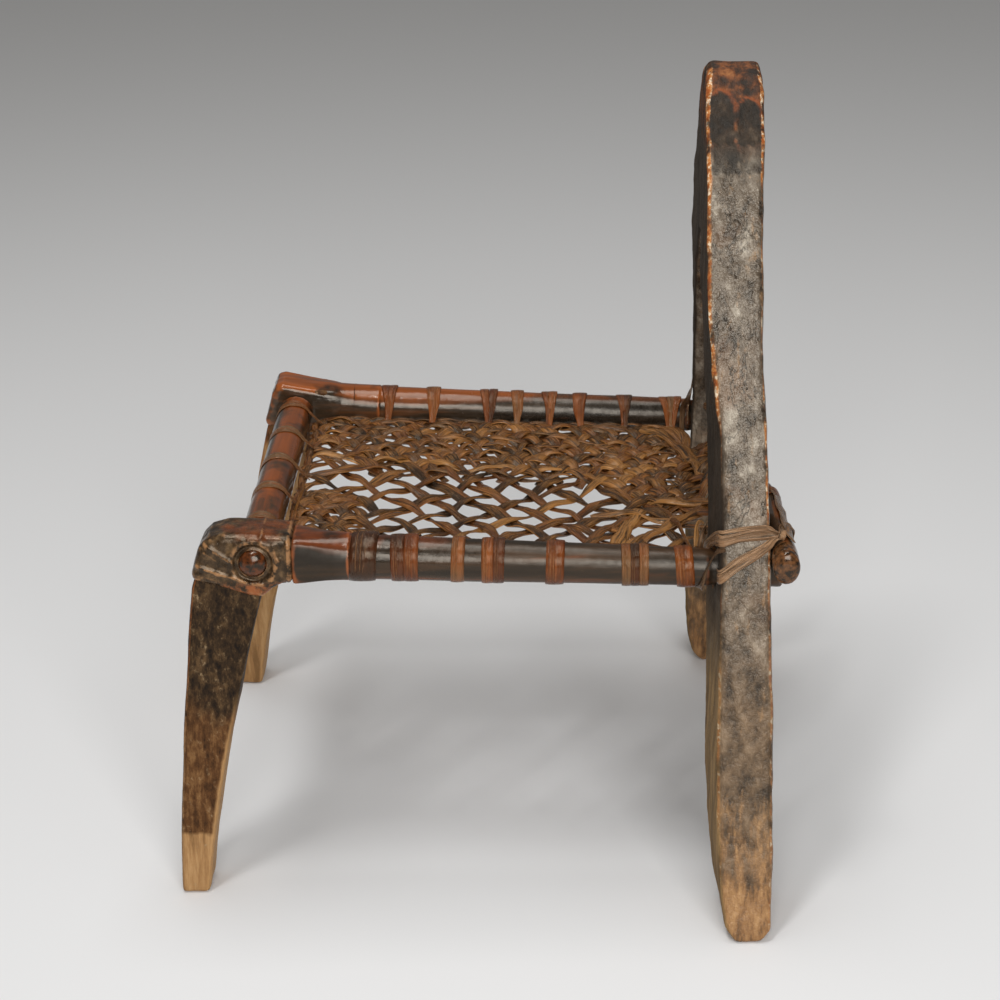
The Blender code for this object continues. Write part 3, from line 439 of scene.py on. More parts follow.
def rail_wood(name, grain_scale, tones, worn, share, gloss, fade=0.0, fade_y=0.0, block_dull=0.0, end_x=None):
    """Glossy patina in streaks along the rail, its upper side worn redder over a share of it, less at the rear, and
    painted shade on faces turned to the front.
    """
    paint = Paint(name)
    streak = paint.noise(70.0, 5.0, 0.6, paint.stretch(grain_scale))
    broad = paint.noise(26.0, 3.0)
    fine = paint.noise(260.0, 4.0, 0.6)
    base = paint.ramp(streak, *zip((0.34, 0.47, 0.58, 0.70), tones))
    rubbed = paint.ramp(streak, (0.35, tuple(0.45 * part for part in worn)), (0.62, worn))
    upward = paint.math("SUBTRACT", paint.facing["Z"], paint.span(paint.spot["Y"], fade_y, fade_y + 0.11, 0.0, fade))
    # Painted shade: faces turned to the front keep the dark base instead of the worn red, as the side away from the
    # light.
    upward = paint.math("SUBTRACT", upward, paint.span(paint.facing["Y"], -0.25, -0.70, 0.0, 0.7))
    top = paint.times(paint.span(upward, 0.30, 0.70), paint.span(broad, 0.74 - 0.5 * share, 0.86 - 0.5 * share))
    base = paint.mix(paint.times(top, 0.92), base, rubbed)
    wear = paint.times(paint.attribute("wear"), paint.span(broad, 0.34, 0.52))
    base = paint.mix(paint.span(wear, 0.40, 0.95, 0.0, 0.70), base, (0.340, 0.090, 0.020))
    base = paint.mix(paint.span(fine, 0.64, 0.78, 0.0, 0.35), base, (0.110, 0.066, 0.034))
    if end_x:
        end = paint.span(paint.math("ABSOLUTE", paint.spot["X"]), end_x, end_x + 0.0015)
        base = paint.mix(end, base, paint.ramp(fine, (0.38, (0.009, 0.004, 0.001)), (0.68, tuple(0.48 * part for part in worn))))
    paint.set("Base Color", base)
    roughness = paint.span(fine, 0.35, 0.70, gloss, gloss + 0.12)
    if fade:
        roughness = paint.plus(roughness, paint.span(paint.spot["Y"], -0.07, 0.02, 0.0, 0.2 * fade))
    if block_dull:
        block = paint.span(paint.spot["Y"], -0.096, -0.082, block_dull, 0.0)
        roughness = paint.plus(roughness, paint.times(block, paint.span(paint.facing["Z"], 0.60, 0.35)))
    paint.set("Roughness", roughness)
    paint.set("Specular Tint", (1.0, 0.90, 0.78, 1.0))
    paint.bump((broad, 0.35, 0.0025), (streak, 0.40, 0.0008), (fine, 0.30, 0.0004))
    return paint.material


def hide(name, tones, edge, roughness, stripes=1.0):
    """Rawhide: fibres along each strip, crests worn paler with painted golden highlights, paler cut edges, and a tone
    of its own for every strip.
    """
    paint = Paint(name)
    tone = paint.attribute("tone")
    across = paint.attribute("across")
    spot = paint.add("ShaderNodeCombineXYZ", {
        "X": paint.times(paint.attribute("along"), 90.0), "Y": paint.times(across, 26.0),
        "Z": paint.times(tone, 60.0)})[0]
    fibre = paint.noise(1.0, 5.0, 0.65, spot)
    streak = paint.noise(0.45, 4.0, 0.65, spot)
    blot = paint.noise(38.0, 4.0)
    shade = paint.plus(paint.times(tone, 0.60), paint.times(blot, 0.40))
    base = paint.ramp(shade, *zip((0.20, 0.36, 0.50, 0.64, 0.80), tones))
    # Crests over the crossings: partly worn paler, partly painted golden highlight.
    crest = paint.times(paint.span(paint.attribute("crest"), 0.2, 1.0, 0.0, 0.45), paint.span(fibre, 0.42, 0.60))
    base = paint.mix(crest, base, edge)
    base = paint.mix(paint.span(fibre, 0.56, 0.76, 0.0, 0.45 * stripes), base, edge)
    base = paint.mix(paint.span(streak, 0.53, 0.38, 0.0, 0.90 * stripes), base, (0.012, 0.006, 0.003))
    ring = paint.math("COSINE", paint.times(across, 4 * math.pi))
    cut = paint.times(paint.span(ring, -0.72, -1.0), paint.span(blot, 0.40, 0.60))
    base = paint.mix(paint.times(cut, 0.7), base, edge)
    paint.set("Base Color", base)
    paint.set("Roughness", paint.span(fibre, 0.30, 0.70, roughness - 0.12, roughness + 0.14))
    paint.set("Specular Tint", (1.0, 0.82, 0.62, 1.0))
    paint.bump((streak, 0.6, 0.0012), (fibre, 0.7, 0.0006), (paint.noise(420.0, 3.0), 0.25, 0.0003))
    return paint.material


def sleeve_hide(name, top, share):
    """Shrunk rawhide: dark hollows, rubbed ridges brightened by painted highlights, and an upper side worn to its own
    colour over a share of it.
    """
    paint = Paint(name)
    broad = paint.noise(34.0, 4.0)
    mottle = paint.noise(140.0, 5.0, 0.65)
    fine = paint.noise(300.0, 5.0, 0.65)
    base = paint.ramp(
        mottle, (0.36, (0.010, 0.005, 0.002)), (0.52, (0.046, 0.025, 0.011)), (0.70, (0.150, 0.088, 0.040)))
    rubbed = paint.ramp(mottle, (0.35, tuple(0.5 * part for part in top)), (0.60, top))
    upper = paint.times(paint.span(paint.facing["Z"], 0.25, 0.70), paint.span(broad, 0.74 - 0.5 * share, 0.84 - 0.5 * share))
    base = paint.mix(paint.times(upper, 0.9), base, rubbed)
    low = paint.times(paint.span(paint.spot["Z"], 0.2215, 0.2175), paint.span(paint.spot["Y"], -0.172, -0.162))
    base = paint.mix(paint.times(low, paint.span(mottle, 0.40, 0.56, 0.0, 0.9)), base, (0.290, 0.082, 0.022))
    # Rubbed ridges: worn orange, made brighter as painted highlight along them.
    wear = paint.times(paint.attribute("wear"), paint.span(mottle, 0.38, 0.56, 0.2, 1.0))
    base = paint.mix(paint.span(wear, 0.35, 0.95, 0.0, 0.80), base, (0.350, 0.172, 0.070))
    base = paint.mix(paint.span(fine, 0.62, 0.76, 0.0, 0.50), base, (0.260, 0.170, 0.088))
    paint.set("Base Color", base)
    paint.set("Roughness", paint.span(fine, 0.35, 0.70, 0.18, 0.36))
    paint.set("Specular Tint", (1.0, 0.80, 0.60, 1.0))
    paint.bump((broad, 0.30, 0.0020), (mottle, 0.40, 0.0008), (fine, 0.30, 0.0004))
    return paint.material


SEAT_TONES = (
    (0.014, 0.006, 0.002), (0.052, 0.019, 0.005), (0.125, 0.038, 0.009), (0.170, 0.066, 0.018),
    (0.360, 0.165, 0.045),
)
TURN_TONES = (
    (0.010, 0.005, 0.002), (0.040, 0.012, 0.004), (0.120, 0.026, 0.005), (0.230, 0.062, 0.012),
    (0.165, 0.085, 0.034),
)
LASHING_TONES = (
    (0.026, 0.012, 0.005), (0.098, 0.048, 0.021), (0.185, 0.094, 0.043), (0.265, 0.142, 0.070),
    (0.380, 0.215, 0.110),
)
BACK_WOOD = back_wood()
LEG_WOODS = {"left": leg_wood("near_leg_wood", 0.130, 0.045), "right": leg_wood("far_leg_wood", 0.260, 0.205)}
ALONG, ACROSS = (1.0, 0.07, 1.0), (0.07, 1.0, 1.0)
SIDE_WOODS = {
    "left": rail_wood("near_rail_wood", ALONG, RAIL_BLACK, (0.270, 0.058, 0.011), 0.72, 0.14, 0.80, -0.100, 0.42),
    "right": rail_wood("far_rail_wood", ALONG, RAIL_GREY, (0.340, 0.085, 0.015), 0.85, 0.12, 0.50, -0.060),
}
FRONT_WOOD = rail_wood("front_rail_wood", ACROSS, RAIL_BLACK, (0.250, 0.060, 0.010), 0.66, 0.12, end_x=PEG_X - 0.0100)
REAR_WOOD = rail_wood("rear_rail_wood", ACROSS, RAIL_BROWN, (0.380, 0.150, 0.050), 0.42, 0.10, end_x=0.162)
SEAT_HIDE = hide("seat_hide", SEAT_TONES, (0.500, 0.220, 0.060), 0.20)
TURN_HIDE = hide("turn_hide", TURN_TONES, (0.400, 0.190, 0.070), 0.18, 0.5)
LASHING_HIDE = hide("lashing_hide", LASHING_TONES, (0.440, 0.270, 0.150), 0.26)
SLEEVE_FINISHES = {
    "left": sleeve_hide("near_sleeve_hide", (0.160, 0.040, 0.009), 0.40),
    "right": SIDE_WOODS["right"],
}


# Making pieces
def show(obj, nodes):
    """A finished piece stands for these nodes and rides on the chair."""
    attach(obj, "root")
    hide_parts(*nodes)
    return obj


def bake(obj):
    """Turns an object and its modifiers into one plain mesh."""
    graph = bpy.context.evaluated_depsgraph_get()
    mesh = bpy.data.meshes.new_from_object(
        obj.evaluated_get(graph), preserve_all_data_layers=True, depsgraph=graph)
    obj.modifiers.clear()
    old = obj.data
    obj.data = mesh
    mesh.name = obj.name
    bpy.data.meshes.remove(old)
    return obj


def link(name, mesh):
    obj = bpy.data.objects.new(name, mesh)
    bpy.context.scene.collection.objects.link(obj)
    return obj


def points_of(mesh):
    flat = np.empty(3 * len(mesh.vertices))
    mesh.vertices.foreach_get("co", flat)
    return flat.reshape(-1, 3)


def normals_of(mesh):
    flat = np.empty(3 * len(mesh.vertices))
    mesh.vertex_normals.foreach_get("vector", flat)
    return flat.reshape(-1, 3)


def push_out(mesh, push):
    """Moves each point along its normal."""
    place = points_of(mesh) + normals_of(mesh) * push[:, None]
    mesh.vertices.foreach_set("co", place.astype(np.float32).ravel())
    mesh.update()


def note(mesh, name, values):
    """Stores a number at each point for the finish to read."""
    layer = mesh.attributes.new(name, "FLOAT", "POINT")
    layer.data.foreach_set("value", values.astype(np.float32))


def mark_wear(mesh, rounds):
    """Stores how far each point stands out from its neighbours, for rubbed edges."""
    edges = np.empty(2 * len(mesh.edges), dtype=np.int64)
    mesh.edges.foreach_get("vertices", edges)
    first, second = edges.reshape(-1, 2).T
    count = len(mesh.vertices)
    degree = np.bincount(first, minlength=count) + np.bincount(second, minlength=count)

    def around(values):
        total = np.bincount(first, values[second], count) + np.bincount(second, values[first], count)
        return total / np.maximum(degree, 1)

    place, normal = points_of(mesh), normals_of(mesh)
    mean = np.stack([around(place[:, k]) for k in range(3)], axis=1)
    proud = np.sum((place - mean) * normal, axis=1)
    for _ in range(rounds):
        proud = 0.4 * proud + 0.6 * around(proud)
    note(mesh, "wear", np.clip(proud / max(np.percentile(proud, 96), 1e-9), 0.0, 1.0))


def node_mesh(node):
    """A copy of a piece's own mesh with its split corners welded."""
    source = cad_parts[node]
    bm = bmesh.new()
    bm.from_mesh(source.data)
    bm.transform(source.matrix_world)
    bmesh.ops.remove_doubles(bm, verts=bm.verts, dist=2e-6)
    mesh = bpy.data.meshes.new(node + "_shape")
    bm.to_mesh(mesh)
    bm.free()
    return mesh


def carve(obj, finish, voxel, evening, values):
    """Meshes a body evenly, softens it and cuts it by hand."""
    even = obj.modifiers.new("even", "REMESH")
    even.mode = "VOXEL"
    even.voxel_size = voxel
    soften = obj.modifiers.new("soften", "SMOOTH")
    soften.factor = 0.5
    soften.iterations = evening
    CARVING.put_on(obj, dict(values, Finish=finish))
    return bake(obj)


def carved(node, finish, voxel, evening, values, shape=None):
    """A carved piece: the node's body with its own cuts, rubbed at its edges."""
    obj = carve(link(node + "_carved", node_mesh(node)), finish, voxel, evening, values)
    if shape:
        shape(obj.data)
    mark_wear(obj.data, 3)
    return show(obj, [node])


class Winding:
    """Collects strips as lines of points, and makes them one piece."""

    def __init__(self):
        self.places, self.fields, self.edges = [], [], []

    def add(self, places, facings, breadth, tone, crest=0.0):
        start = sum(len(p) for p in self.places)
        count = len(places)
        self.places.append(np.asarray(places))
        numbers = [np.broadcast_to(value, count) for value in (breadth, tone, crest)]
        self.fields.append(np.column_stack([np.asarray(facings), *numbers]))
        self.edges += [(start + k, start + k + 1) for k in range(count - 1)]

    def make(self, name, nodes, finish, flatness, fibre):
        mesh = bpy.data.meshes.new(name + "_lines")
        mesh.from_pydata(np.concatenate(self.places).tolist(), self.edges, [])
        fields = np.concatenate(self.fields)
        facing = mesh.attributes.new("facing", "FLOAT_VECTOR", "POINT")
        facing.data.foreach_set("vector", fields[:, :3].astype(np.float32).ravel())
        for column, title in enumerate(("breadth", "tone", "crest"), 3):
            note(mesh, title, fields[:, column])
        obj = link(name, mesh)
        STRIPS.put_on(obj, {"Flatness": flatness, "Fibre depth": fibre, "Finish": finish})
        bake(obj)
        return show(obj, nodes)


def flow(points, step):
    """An even line of points on a smooth curve through the given ones, by their first three numbers."""
    points = np.asarray(points, dtype=float)
    ends = np.vstack([2 * points[0] - points[1], points, 2 * points[-1] - points[-2]])
    curve = []
    for a, b, c, d in zip(ends, ends[1:], ends[2:], ends[3:]):
        for t in np.linspace(0.0, 1.0, 12, endpoint=False):
            curve.append(0.5 * (2 * b + (c - a) * t + (2 * a - 5 * b + 4 * c - d) * t ** 2
                                + (3 * b - a - 3 * c + d) * t ** 3))
    curve = np.array(curve + [points[-1]])
    run = np.concatenate([[0.0], np.cumsum(np.linalg.norm(np.diff(curve[:, :3], axis=0), axis=1))])
    places = np.linspace(0.0, run[-1], max(4, int(run[-1] / step)))
    return np.stack([np.interp(places, run, curve[:, k]) for k in range(curve.shape[1])], axis=1)


def unit(vectors):
    return vectors / np.maximum(np.linalg.norm(vectors, axis=-1, keepdims=True), 1e-9)


def twisted(places, facings, angles):
    """Turns the strip's facing about its own line."""
    along = unit(np.gradient(places, axis=0))
    facings = unit(facings - along * np.sum(facings * along, axis=1, keepdims=True))
    side = np.cross(along, facings)
    angles = np.asarray(angles)[:, None]
    return facings * np.cos(angles) + side * np.sin(angles)


def waves(rng, run, reaches):
    """A smooth random sway along a strip: pairs of size and wave length."""
    total = np.zeros_like(run)
    for size, length in reaches:
        total += size * np.sin(2 * math.pi * run / length + rng.uniform(0, 2 * math.pi))
    return total


# Carved wood
ADZE = {
    "Scoop size": 0.024, "Scoop depth": 0.0015, "Dent size": 0.0075, "Dent depth": 0.0006,
    "Ripple size": 0.030, "Ripple depth": 0.0014, "Grain": (1.0, 1.0, 0.60),
}
LEG_CUTS = {
    "Scoop size": 0.016, "Scoop depth": 0.0008, "Dent size": 0.0070, "Dent depth": 0.0003,
    "Ripple size": 0.022, "Ripple depth": 0.0014, "Grain": (1.0, 1.0, 0.35),
}
SIDE_CUTS = {
    "Scoop size": 0.020, "Scoop depth": 0.0004, "Dent size": 0.0090, "Dent depth": 0.0001,
    "Ripple size": 0.018, "Ripple depth": 0.0009, "Grain": (1.0, 0.25, 1.0),
}
CROSS_CUTS = dict(SIDE_CUTS, Grain=(0.25, 1.0, 1.0))
# Scalloped adze marks on the crown: middle along the depth, height where the arch springs, half width,
# height of the arch, lower end and how dark it is
SCALLOPS = (
    (0.1533, 0.4960, 0.0094, 0.0112, 0.4770, 1.0), (0.1711, 0.4950, 0.0081, 0.0082, 0.4770, 1.0),
    (0.1558, 0.4760, 0.0088, 0.0060, 0.4612, 0.8), (0.1722, 0.4755, 0.0072, 0.0060, 0.4612, 0.6),
)
SCALLOP_DEPTH = 0.0012
CROWN_NARROWING = 0.10
FOOT_MIDDLE_Y = 0.1685
FOOT_NARROWING = 0.22
KNOB_GROOVE = 0.0008
BLOCK_ROUND = 0.0156
PEG_RADIUS = 0.0098
PEG_DOME = 0.0022


def cut_scallops(mesh):
    """Rounds the crown's and the feet's corners, sinks the scallops, and notes their beds and rims."""
    place, normal = points_of(mesh), normals_of(mesh)
    outer = normal[:, 0] * np.sign(place[:, 0]) + normal[:, 2] > 0.5
    push, bed, rim = np.zeros((3, len(place)))
    for y, spring, half_wide, arch, end, dark in SCALLOPS:
        u, rise = np.abs(place[:, 1] - y) / half_wide, place[:, 2] - spring
        reach = np.where(rise > 0, np.hypot(u, rise / arch), np.maximum(u, -rise / (spring - end)))
        reach = np.where(outer, reach + 0.05 * np.sin(870 * place[:, 1] + 640 * place[:, 2]), 9.0)
        push -= SCALLOP_DEPTH * np.clip(1 - reach ** 2, 0.0, 1.0)
        arched = smooth(rise / arch + 0.7) * dark ** 3 * (1.0 - bed)
        bed = np.maximum(bed, dark * smooth((1.0 - reach) / 0.08))
        rim = np.maximum(rim, arched * np.exp(-((reach - 1.03) / 0.07) ** 2))
    push_out(mesh, push)
    place = points_of(mesh)
    place[:, 1] -= CROWN_NARROWING * smooth((place[:, 2] - 0.498) / 0.022) ** 2 * (place[:, 1] - CROWN_MIDDLE_Y)
    place[:, 1] -= FOOT_NARROWING * smooth((0.013 - place[:, 2]) / 0.013) ** 2 * (place[:, 1] - FOOT_MIDDLE_Y)
    mesh.vertices.foreach_set("co", place.astype(np.float32).ravel())
    note(mesh, "bed", bed)
    note(mesh, "rim", rim)


def ease_block(mesh, radius=BLOCK_ROUND):
    """Rounds a side rail's block, or the sleeve on it, more and more towards the round part."""
    place = points_of(mesh)
    side = np.sign(place[:, 0])
    across, up = place[:, 0] - side * RAIL_X, place[:, 2] - rail_z(place[:, 1])
    away = np.hypot(across, up)
    start = np.where(side > 0, NEAR_EASE_Y, FAR_EASE_Y)
    share = smooth((place[:, 1] - start) / (ROUND_START_Y - start))
    share = np.where(place[:, 1] < ROUND_START_Y, share, 0.0)
    scale = 1.0 + share * (radius / np.maximum(away, 1e-6) - 1.0)
    place[:, 0] = side * RAIL_X + across * scale
    place[:, 2] = rail_z(place[:, 1]) + up * scale
    mesh.vertices.foreach_set("co", place.astype(np.float32).ravel())
    mesh.update()


def dome_pegs(mesh):
    """Rounds the ends of the front rail's pegs."""
    place, normal = points_of(mesh), normals_of(mesh)
    side = np.sign(place[:, 0])
    away = np.hypot(place[:, 1] - FRONT_RAIL_Y, place[:, 2] - FRONT_RAIL_Z) / PEG_RADIUS
    end = (np.abs(place[:, 0]) > PEG_X - 0.006) & (side * normal[:, 0] > 0.2)
    place[:, 0] += side * np.where(end, PEG_DOME * np.clip(1 - away ** 2, 0.0, 1.0), 0.0)
    mesh.vertices.foreach_set("co", place.astype(np.float32).ravel())
    mesh.update()


def groove_knobs(mesh):
    """A ring cut round each end of the rear rail."""
    away = np.abs(points_of(mesh)[:, 0]) - (KNOB_X - 0.0078)
    push_out(mesh, -KNOB_GROOVE * np.exp(-(away / 0.0011) ** 2))


carved("back_frame", BACK_WOOD, 0.0017, 3, ADZE, cut_scallops)
for word in ("left", "right"):
    carved("front_leg_" + word, LEG_WOODS[word], 0.0014, 4, LEG_CUTS)
    carved("side_rail_" + word, SIDE_WOODS[word], 0.0011, 12, SIDE_CUTS, ease_block)
carved("front_rail", FRONT_WOOD, 0.0011, 3, CROSS_CUTS, dome_pegs)
carved("rear_rail", REAR_WOOD, 0.0009, 3, CROSS_CUTS, groove_knobs)


# Seat lacing
LACE_PITCH = 0.029
LACE_LEAN = 0.80
LACE_RISE = 0.0015
LACE_STEP = 0.0026
# Wide folded strips at the rear: half width, tone, and places across and along the seat
FOLDS = (
    (0.0055, 0.92, ((0.0985, 0.0876), (0.0603, 0.0966), (0.0315, 0.1048))),
    (0.0045, 0.80, ((0.0975, 0.1008), (0.0542, 0.1306), (0.0334, 0.1479))),
    (0.0040, 0.88, ((0.0449, 0.0711), (0.0395, 0.0937), (0.0538, 0.1137), (0.0560, 0.1278))),
    (0.0060, 0.96, ((0.0149, 0.1101), (0.0225, 0.1292), (0.0263, 0.1483))),
    (0.0036, 0.70, ((0.0947, 0.0679), (0.0682, 0.0829), (0.0450, 0.0980))),
    (0.0050, 0.88, ((-0.1180, 0.1080), (-0.0950, 0.1270), (-0.0600, 0.1420), (-0.0200, 0.1500))),
    (0.0042, 0.75, ((-0.1190, 0.1240), (-0.0930, 0.1365), (-0.0640, 0.1520))),
    (0.0045, 0.82, ((-0.1215, 0.1100), (-0.1150, 0.1300), (-0.0990, 0.1390), (-0.0850, 0.1400))),
    (0.0034, 0.60, ((-0.0025, -0.1320), (-0.0103, -0.1055), (-0.0185, -0.0960), (-0.0300, -0.0700))),
)
# A loose end that stands up at the near front corner, and two that curl by the near stile
LOOSE_ENDS = (
    (0.0012, 0.75, ((0.0607, -0.1310, 0.2270), (0.0602, -0.1280, 0.2350), (0.0590, -0.1225, 0.2470))),
    (0.0020, 0.45, (
        (0.0632, 0.1248, 0.2235), (0.0850, 0.1280, 0.2290), (0.1015, 0.1311, 0.2275), (0.1158, 0.1357, 0.2240),
        (0.1215, 0.1385, 0.2285))),
    (0.0024, 0.98, (
        (0.1120, 0.1395, 0.2215), (0.1040, 0.1392, 0.2265), (0.0960, 0.1398, 0.2310), (0.0905, 0.1415, 0.2330),
        (0.0880, 0.1440, 0.2305))),
)


def close_edge(y):
    """How far from the far rail the close weave reaches: less at the front, more at the rear."""
    return -0.019 - 0.028 * smooth((-0.080 - y) / 0.030) + 0.058 * smooth((y - 0.060) / 0.070)


def close_share(x, y):
    """How close the weave is: 1 by the far rail and in the near front corner, 0 in the open part."""
    far = smooth((close_edge(y) - x) / 0.030)
    corner = smooth((-0.078 - y) / 0.020) * smooth((x - 0.014) / 0.014)
    return np.maximum(far, corner)


def lay(winding, rng, x, y, crest, breadth, tone, lift=0.0, allowed=True):
    """Lays one strip on the seat, wherever it is inside and allowed, with its ends tucked under."""
    inside = np.append(inside_seat(x, y) & allowed, False)
    start = None
    for k, here in enumerate(inside):
        if here:
            start = k if start is None else start
            continue
        if start is not None and k - start > 8:
            part = slice(start, k)
            count = k - start
            run = np.arange(count) * LACE_STEP
            tuck = 0.0034 * (np.exp(-run / 0.006) + np.exp((run - run[-1]) / 0.006))
            height = net_z(x[part], y[part]) + LACE_RISE * crest[part] + lift - np.minimum(tuck, 0.0034)
            places = np.stack([x[part], y[part], height], axis=1)
            up = np.tile((0.0, 0.0, 1.0), (count, 1))
            turns = waves(rng, run, ((0.22, 0.060), (0.14, 0.026)))
            sizes = np.broadcast_to(breadth, len(x))[part] * (1 + waves(rng, run, ((0.14, 0.055), (0.05, 0.017))))
            winding.add(places, twisted(places, up, turns), sizes, tone, crest[part])
        start = None


def lay_lattice(winding, rng, line, sign, x, shift, breadth, tone):
    """One leaning strip: line counts pitches along the seat, and sign is the way it leans."""
    sway = waves(rng, x, ((0.0032, 0.130), (0.0016, 0.052)))
    y = line * LACE_PITCH + shift + sign * LACE_LEAN * x + sway
    crossed = line + (y + sign * LACE_LEAN * x) / LACE_PITCH
    close = close_share(x, y)
    crest = sign * ((1 - close) * np.cos(math.pi * crossed) + close * np.cos(2 * math.pi * crossed))
    allowed = close > (rng.uniform(0.02, 0.30) if line % 1 else -1.0)
    lay(winding, rng, x, y, crest, (breadth + 0.0006 * close) * (1 + 0.07 * crest), tone, 0.0, allowed)


def lace_seat():
    rng = np.random.default_rng(23)
    winding = Winding()
    x = np.arange(-0.128, 0.128, LACE_STEP * 0.78)
    for sign in (1, -1):
        for half_line in range(-20, 22):
            breadth, tone = rng.uniform(0.0030, 0.0044), 0.05 + 0.92 * rng.random() ** 1.3
            lay_lattice(winding, rng, half_line / 2, sign, x, 0.0, breadth, tone)
            if half_line % 2 == 0 and rng.random() < 0.45:
                lay_lattice(winding, rng, half_line / 2, sign, x, 0.0062, 0.0026, rng.uniform(0.15, 0.85))
    y = np.arange(NET_LOW[1], NET_HIGH[1], LACE_STEP)
    lengths = [(middle, NET_HIGH[1]) for middle in np.arange(-0.114, -0.028, 0.0118)]
    lengths += [(middle, rng.uniform(-0.085, -0.060)) for middle in np.arange(0.028, 0.118, 0.0145)]
    for middle, end in lengths:
        crest = waves(rng, y, ((1.2, 0.040), (0.5, 0.023)))
        sway = waves(rng, y, ((0.0030, 0.062), (0.0018, 0.105)))
        lay(winding, rng, middle + sway, y, crest, rng.uniform(0.0022, 0.0036), rng.uniform(0.1, 1.0), 0.0006, y < end)
    for strand in range(2):
        crest = 0.7 * (1 - 2 * strand) * np.cos(2 * math.pi * y / 0.034)
        for side in (1, -1):
            rim = side * (net_half(y) - 0.0032 - 0.0016 * strand) + waves(rng, y, ((0.0008, 0.05),))
            lay(winding, rng, rim, y, crest, 0.0023, rng.uniform(0.1, 0.6))
        crest = 0.7 * (1 - 2 * strand) * np.cos(2 * math.pi * x / 0.034)
        sway = waves(rng, x, ((0.0008, 0.05),))
        for rim in (NET_LOW[1] + 0.0034 + 0.0016 * strand + 0.0 * x, net_rear(x) - 0.0034 - 0.0016 * strand):
            lay(winding, rng, x, rim + sway, crest, 0.0023, rng.uniform(0.1, 0.6))
    for breadth, tone, corners in FOLDS:
        line = flow([(across, along, 0.0) for across, along in corners], LACE_STEP)
        crest = waves(rng, np.arange(len(line)) * LACE_STEP, ((0.5, 0.031),))
        lay(winding, rng, line[:, 0], line[:, 1], crest, breadth, tone, 0.0026)
    for breadth, tone, corners in LOOSE_ENDS:
        line = flow(corners, 0.0016)
        taper = np.linspace(1.0, 0.55, len(line))
        up = np.tile((0.5, -0.3, 0.8), (len(line), 1))
        turns = np.linspace(0.0, 1.2, len(line))
        winding.add(line, twisted(line, up, turns), breadth * taper, tone, np.linspace(0.0, 0.8, len(line)))
    winding.make("seat_lacing", ["seat_net"], SEAT_HIDE, 0.32, 0.0007)


lace_seat()


# Turns of the lacing round the rails
def wind_turn(node, axis, net_way, tones, rng, half_wide=None):
    """Strips wound side by side round a rail, drawn together where they reach the seat.

    axis is the direction along the rail, net_way points from the rail to the seat, and each strip has a tone.
    """
    low, high = box(node)
    axis, net_way, up = np.array(axis, float), np.array(net_way, float), np.array((0.0, 0.0, 1.0))
    half_high = (high[2] - low[2]) / 2
    half_wide = half_wide or half_high
    across = np.abs(net_way)
    outer = float(np.dot(np.where(net_way < -0.5, high, low), across))
    middle = (low + high) / 2
    centre = middle * (1 - across) + across * outer + net_way * half_wide
    each = float(np.dot(high - low, np.abs(axis))) / len(tones)
    winding = Winding()
    for strand, tone in enumerate(tones):
        shift = (strand - (len(tones) - 1) / 2) * each
        lean = rng.uniform(-0.25, 0.25) * each
        angles = np.linspace(-2.75, rng.uniform(2.55, 2.75), 44)
        draw = 1 - 0.55 * smooth((np.abs(angles) - 1.5) / 1.3)
        sunk = 0.0013 - 0.0003 * rng.random()
        ring = (-net_way * (half_wide - sunk) * np.cos(angles)[:, None]
                + up * (half_high - sunk) * np.sin(angles)[:, None])
        places = centre + ring + axis * (shift * draw + lean * angles / 2.7)[:, None]
        tip = centre + axis * (0.3 * shift) + net_way * (half_wide + 0.0075) + up * rng.uniform(-0.006, -0.003)
        places = np.vstack([places, (places[-1] + tip) / 2 - up * 0.0008, tip])
        outward = np.vstack([unit(ring), up, up])
        sizes = each * 0.56 * np.concatenate([0.62 + 0.38 * draw / draw.max(), [0.5, 0.42]])
        winding.add(places, outward, sizes, tone + rng.uniform(-0.08, 0.08))
    winding.make(node + "_strips", [node], TURN_HIDE, 0.11, 0.0003)


TURN_RNG = np.random.default_rng(5)
NEAR_TURNS = ((0.36,), (0.30, 0.52), (0.86,), (0.66, 0.48), (0.64,), (0.90, 0.25, 0.80), (0.66,))
FAR_TURNS = ((0.55, 0.70), (0.80,), (0.60, 0.45), (0.85,), (0.50, 0.62), (0.75,), (0.55, 0.35), (0.70, 0.85, 0.60))
for number, tones in enumerate(NEAR_TURNS, 1):
    wind_turn("left_turn_%d" % number, (0, 1, 0), (-1, 0, 0), tones, TURN_RNG)
for number, tones in enumerate(FAR_TURNS, 1):
    wind_turn("right_turn_%d" % number, (0, 1, 0), (1, 0, 0), tones, TURN_RNG)
for number in range(1, 6):
    wind_turn("front_turn_%d" % number, (1, 0, 0), (0, 1, 0), (0.95, 0.80, 0.98, 0.88), TURN_RNG)
    wind_turn("rear_turn_%d" % number, (1, 0, 0), (0, -1, 0), (0.80, 0.60), TURN_RNG, 0.0078)


# Rawhide sleeves over the front corners, in side view from the peg: lean, front and top, and lower edge
HEADS = {
    "left": (0.0901, (
        (-0.0414, -0.0125), (-0.0385, -0.0010), (-0.0345, 0.0100), (-0.0285, 0.0160), (-0.0185, 0.0187),
        (0.0000, 0.0186), (0.0196, 0.0172), (0.0290, 0.0140)), (
        (0.0290, -0.0130), (0.0196, -0.0145), (0.0120, -0.0180), (0.0050, -0.0235), (-0.0020, -0.0235),
        (-0.0255, -0.0158))),
    "right": (0.0386, (
        (-0.0252, -0.0125), (-0.0215, 0.0010), (-0.0180, 0.0125), (-0.0150, 0.0195), (-0.0100, 0.0212),
        (0.0000, 0.0194), (0.0196, 0.0167), (0.0260, 0.0162), (0.0450, 0.0144)), (
        (0.0450, -0.0130), (0.0196, -0.0140), (0.0100, -0.0152), (-0.0050, -0.0142), (-0.0200, -0.0132))),
}
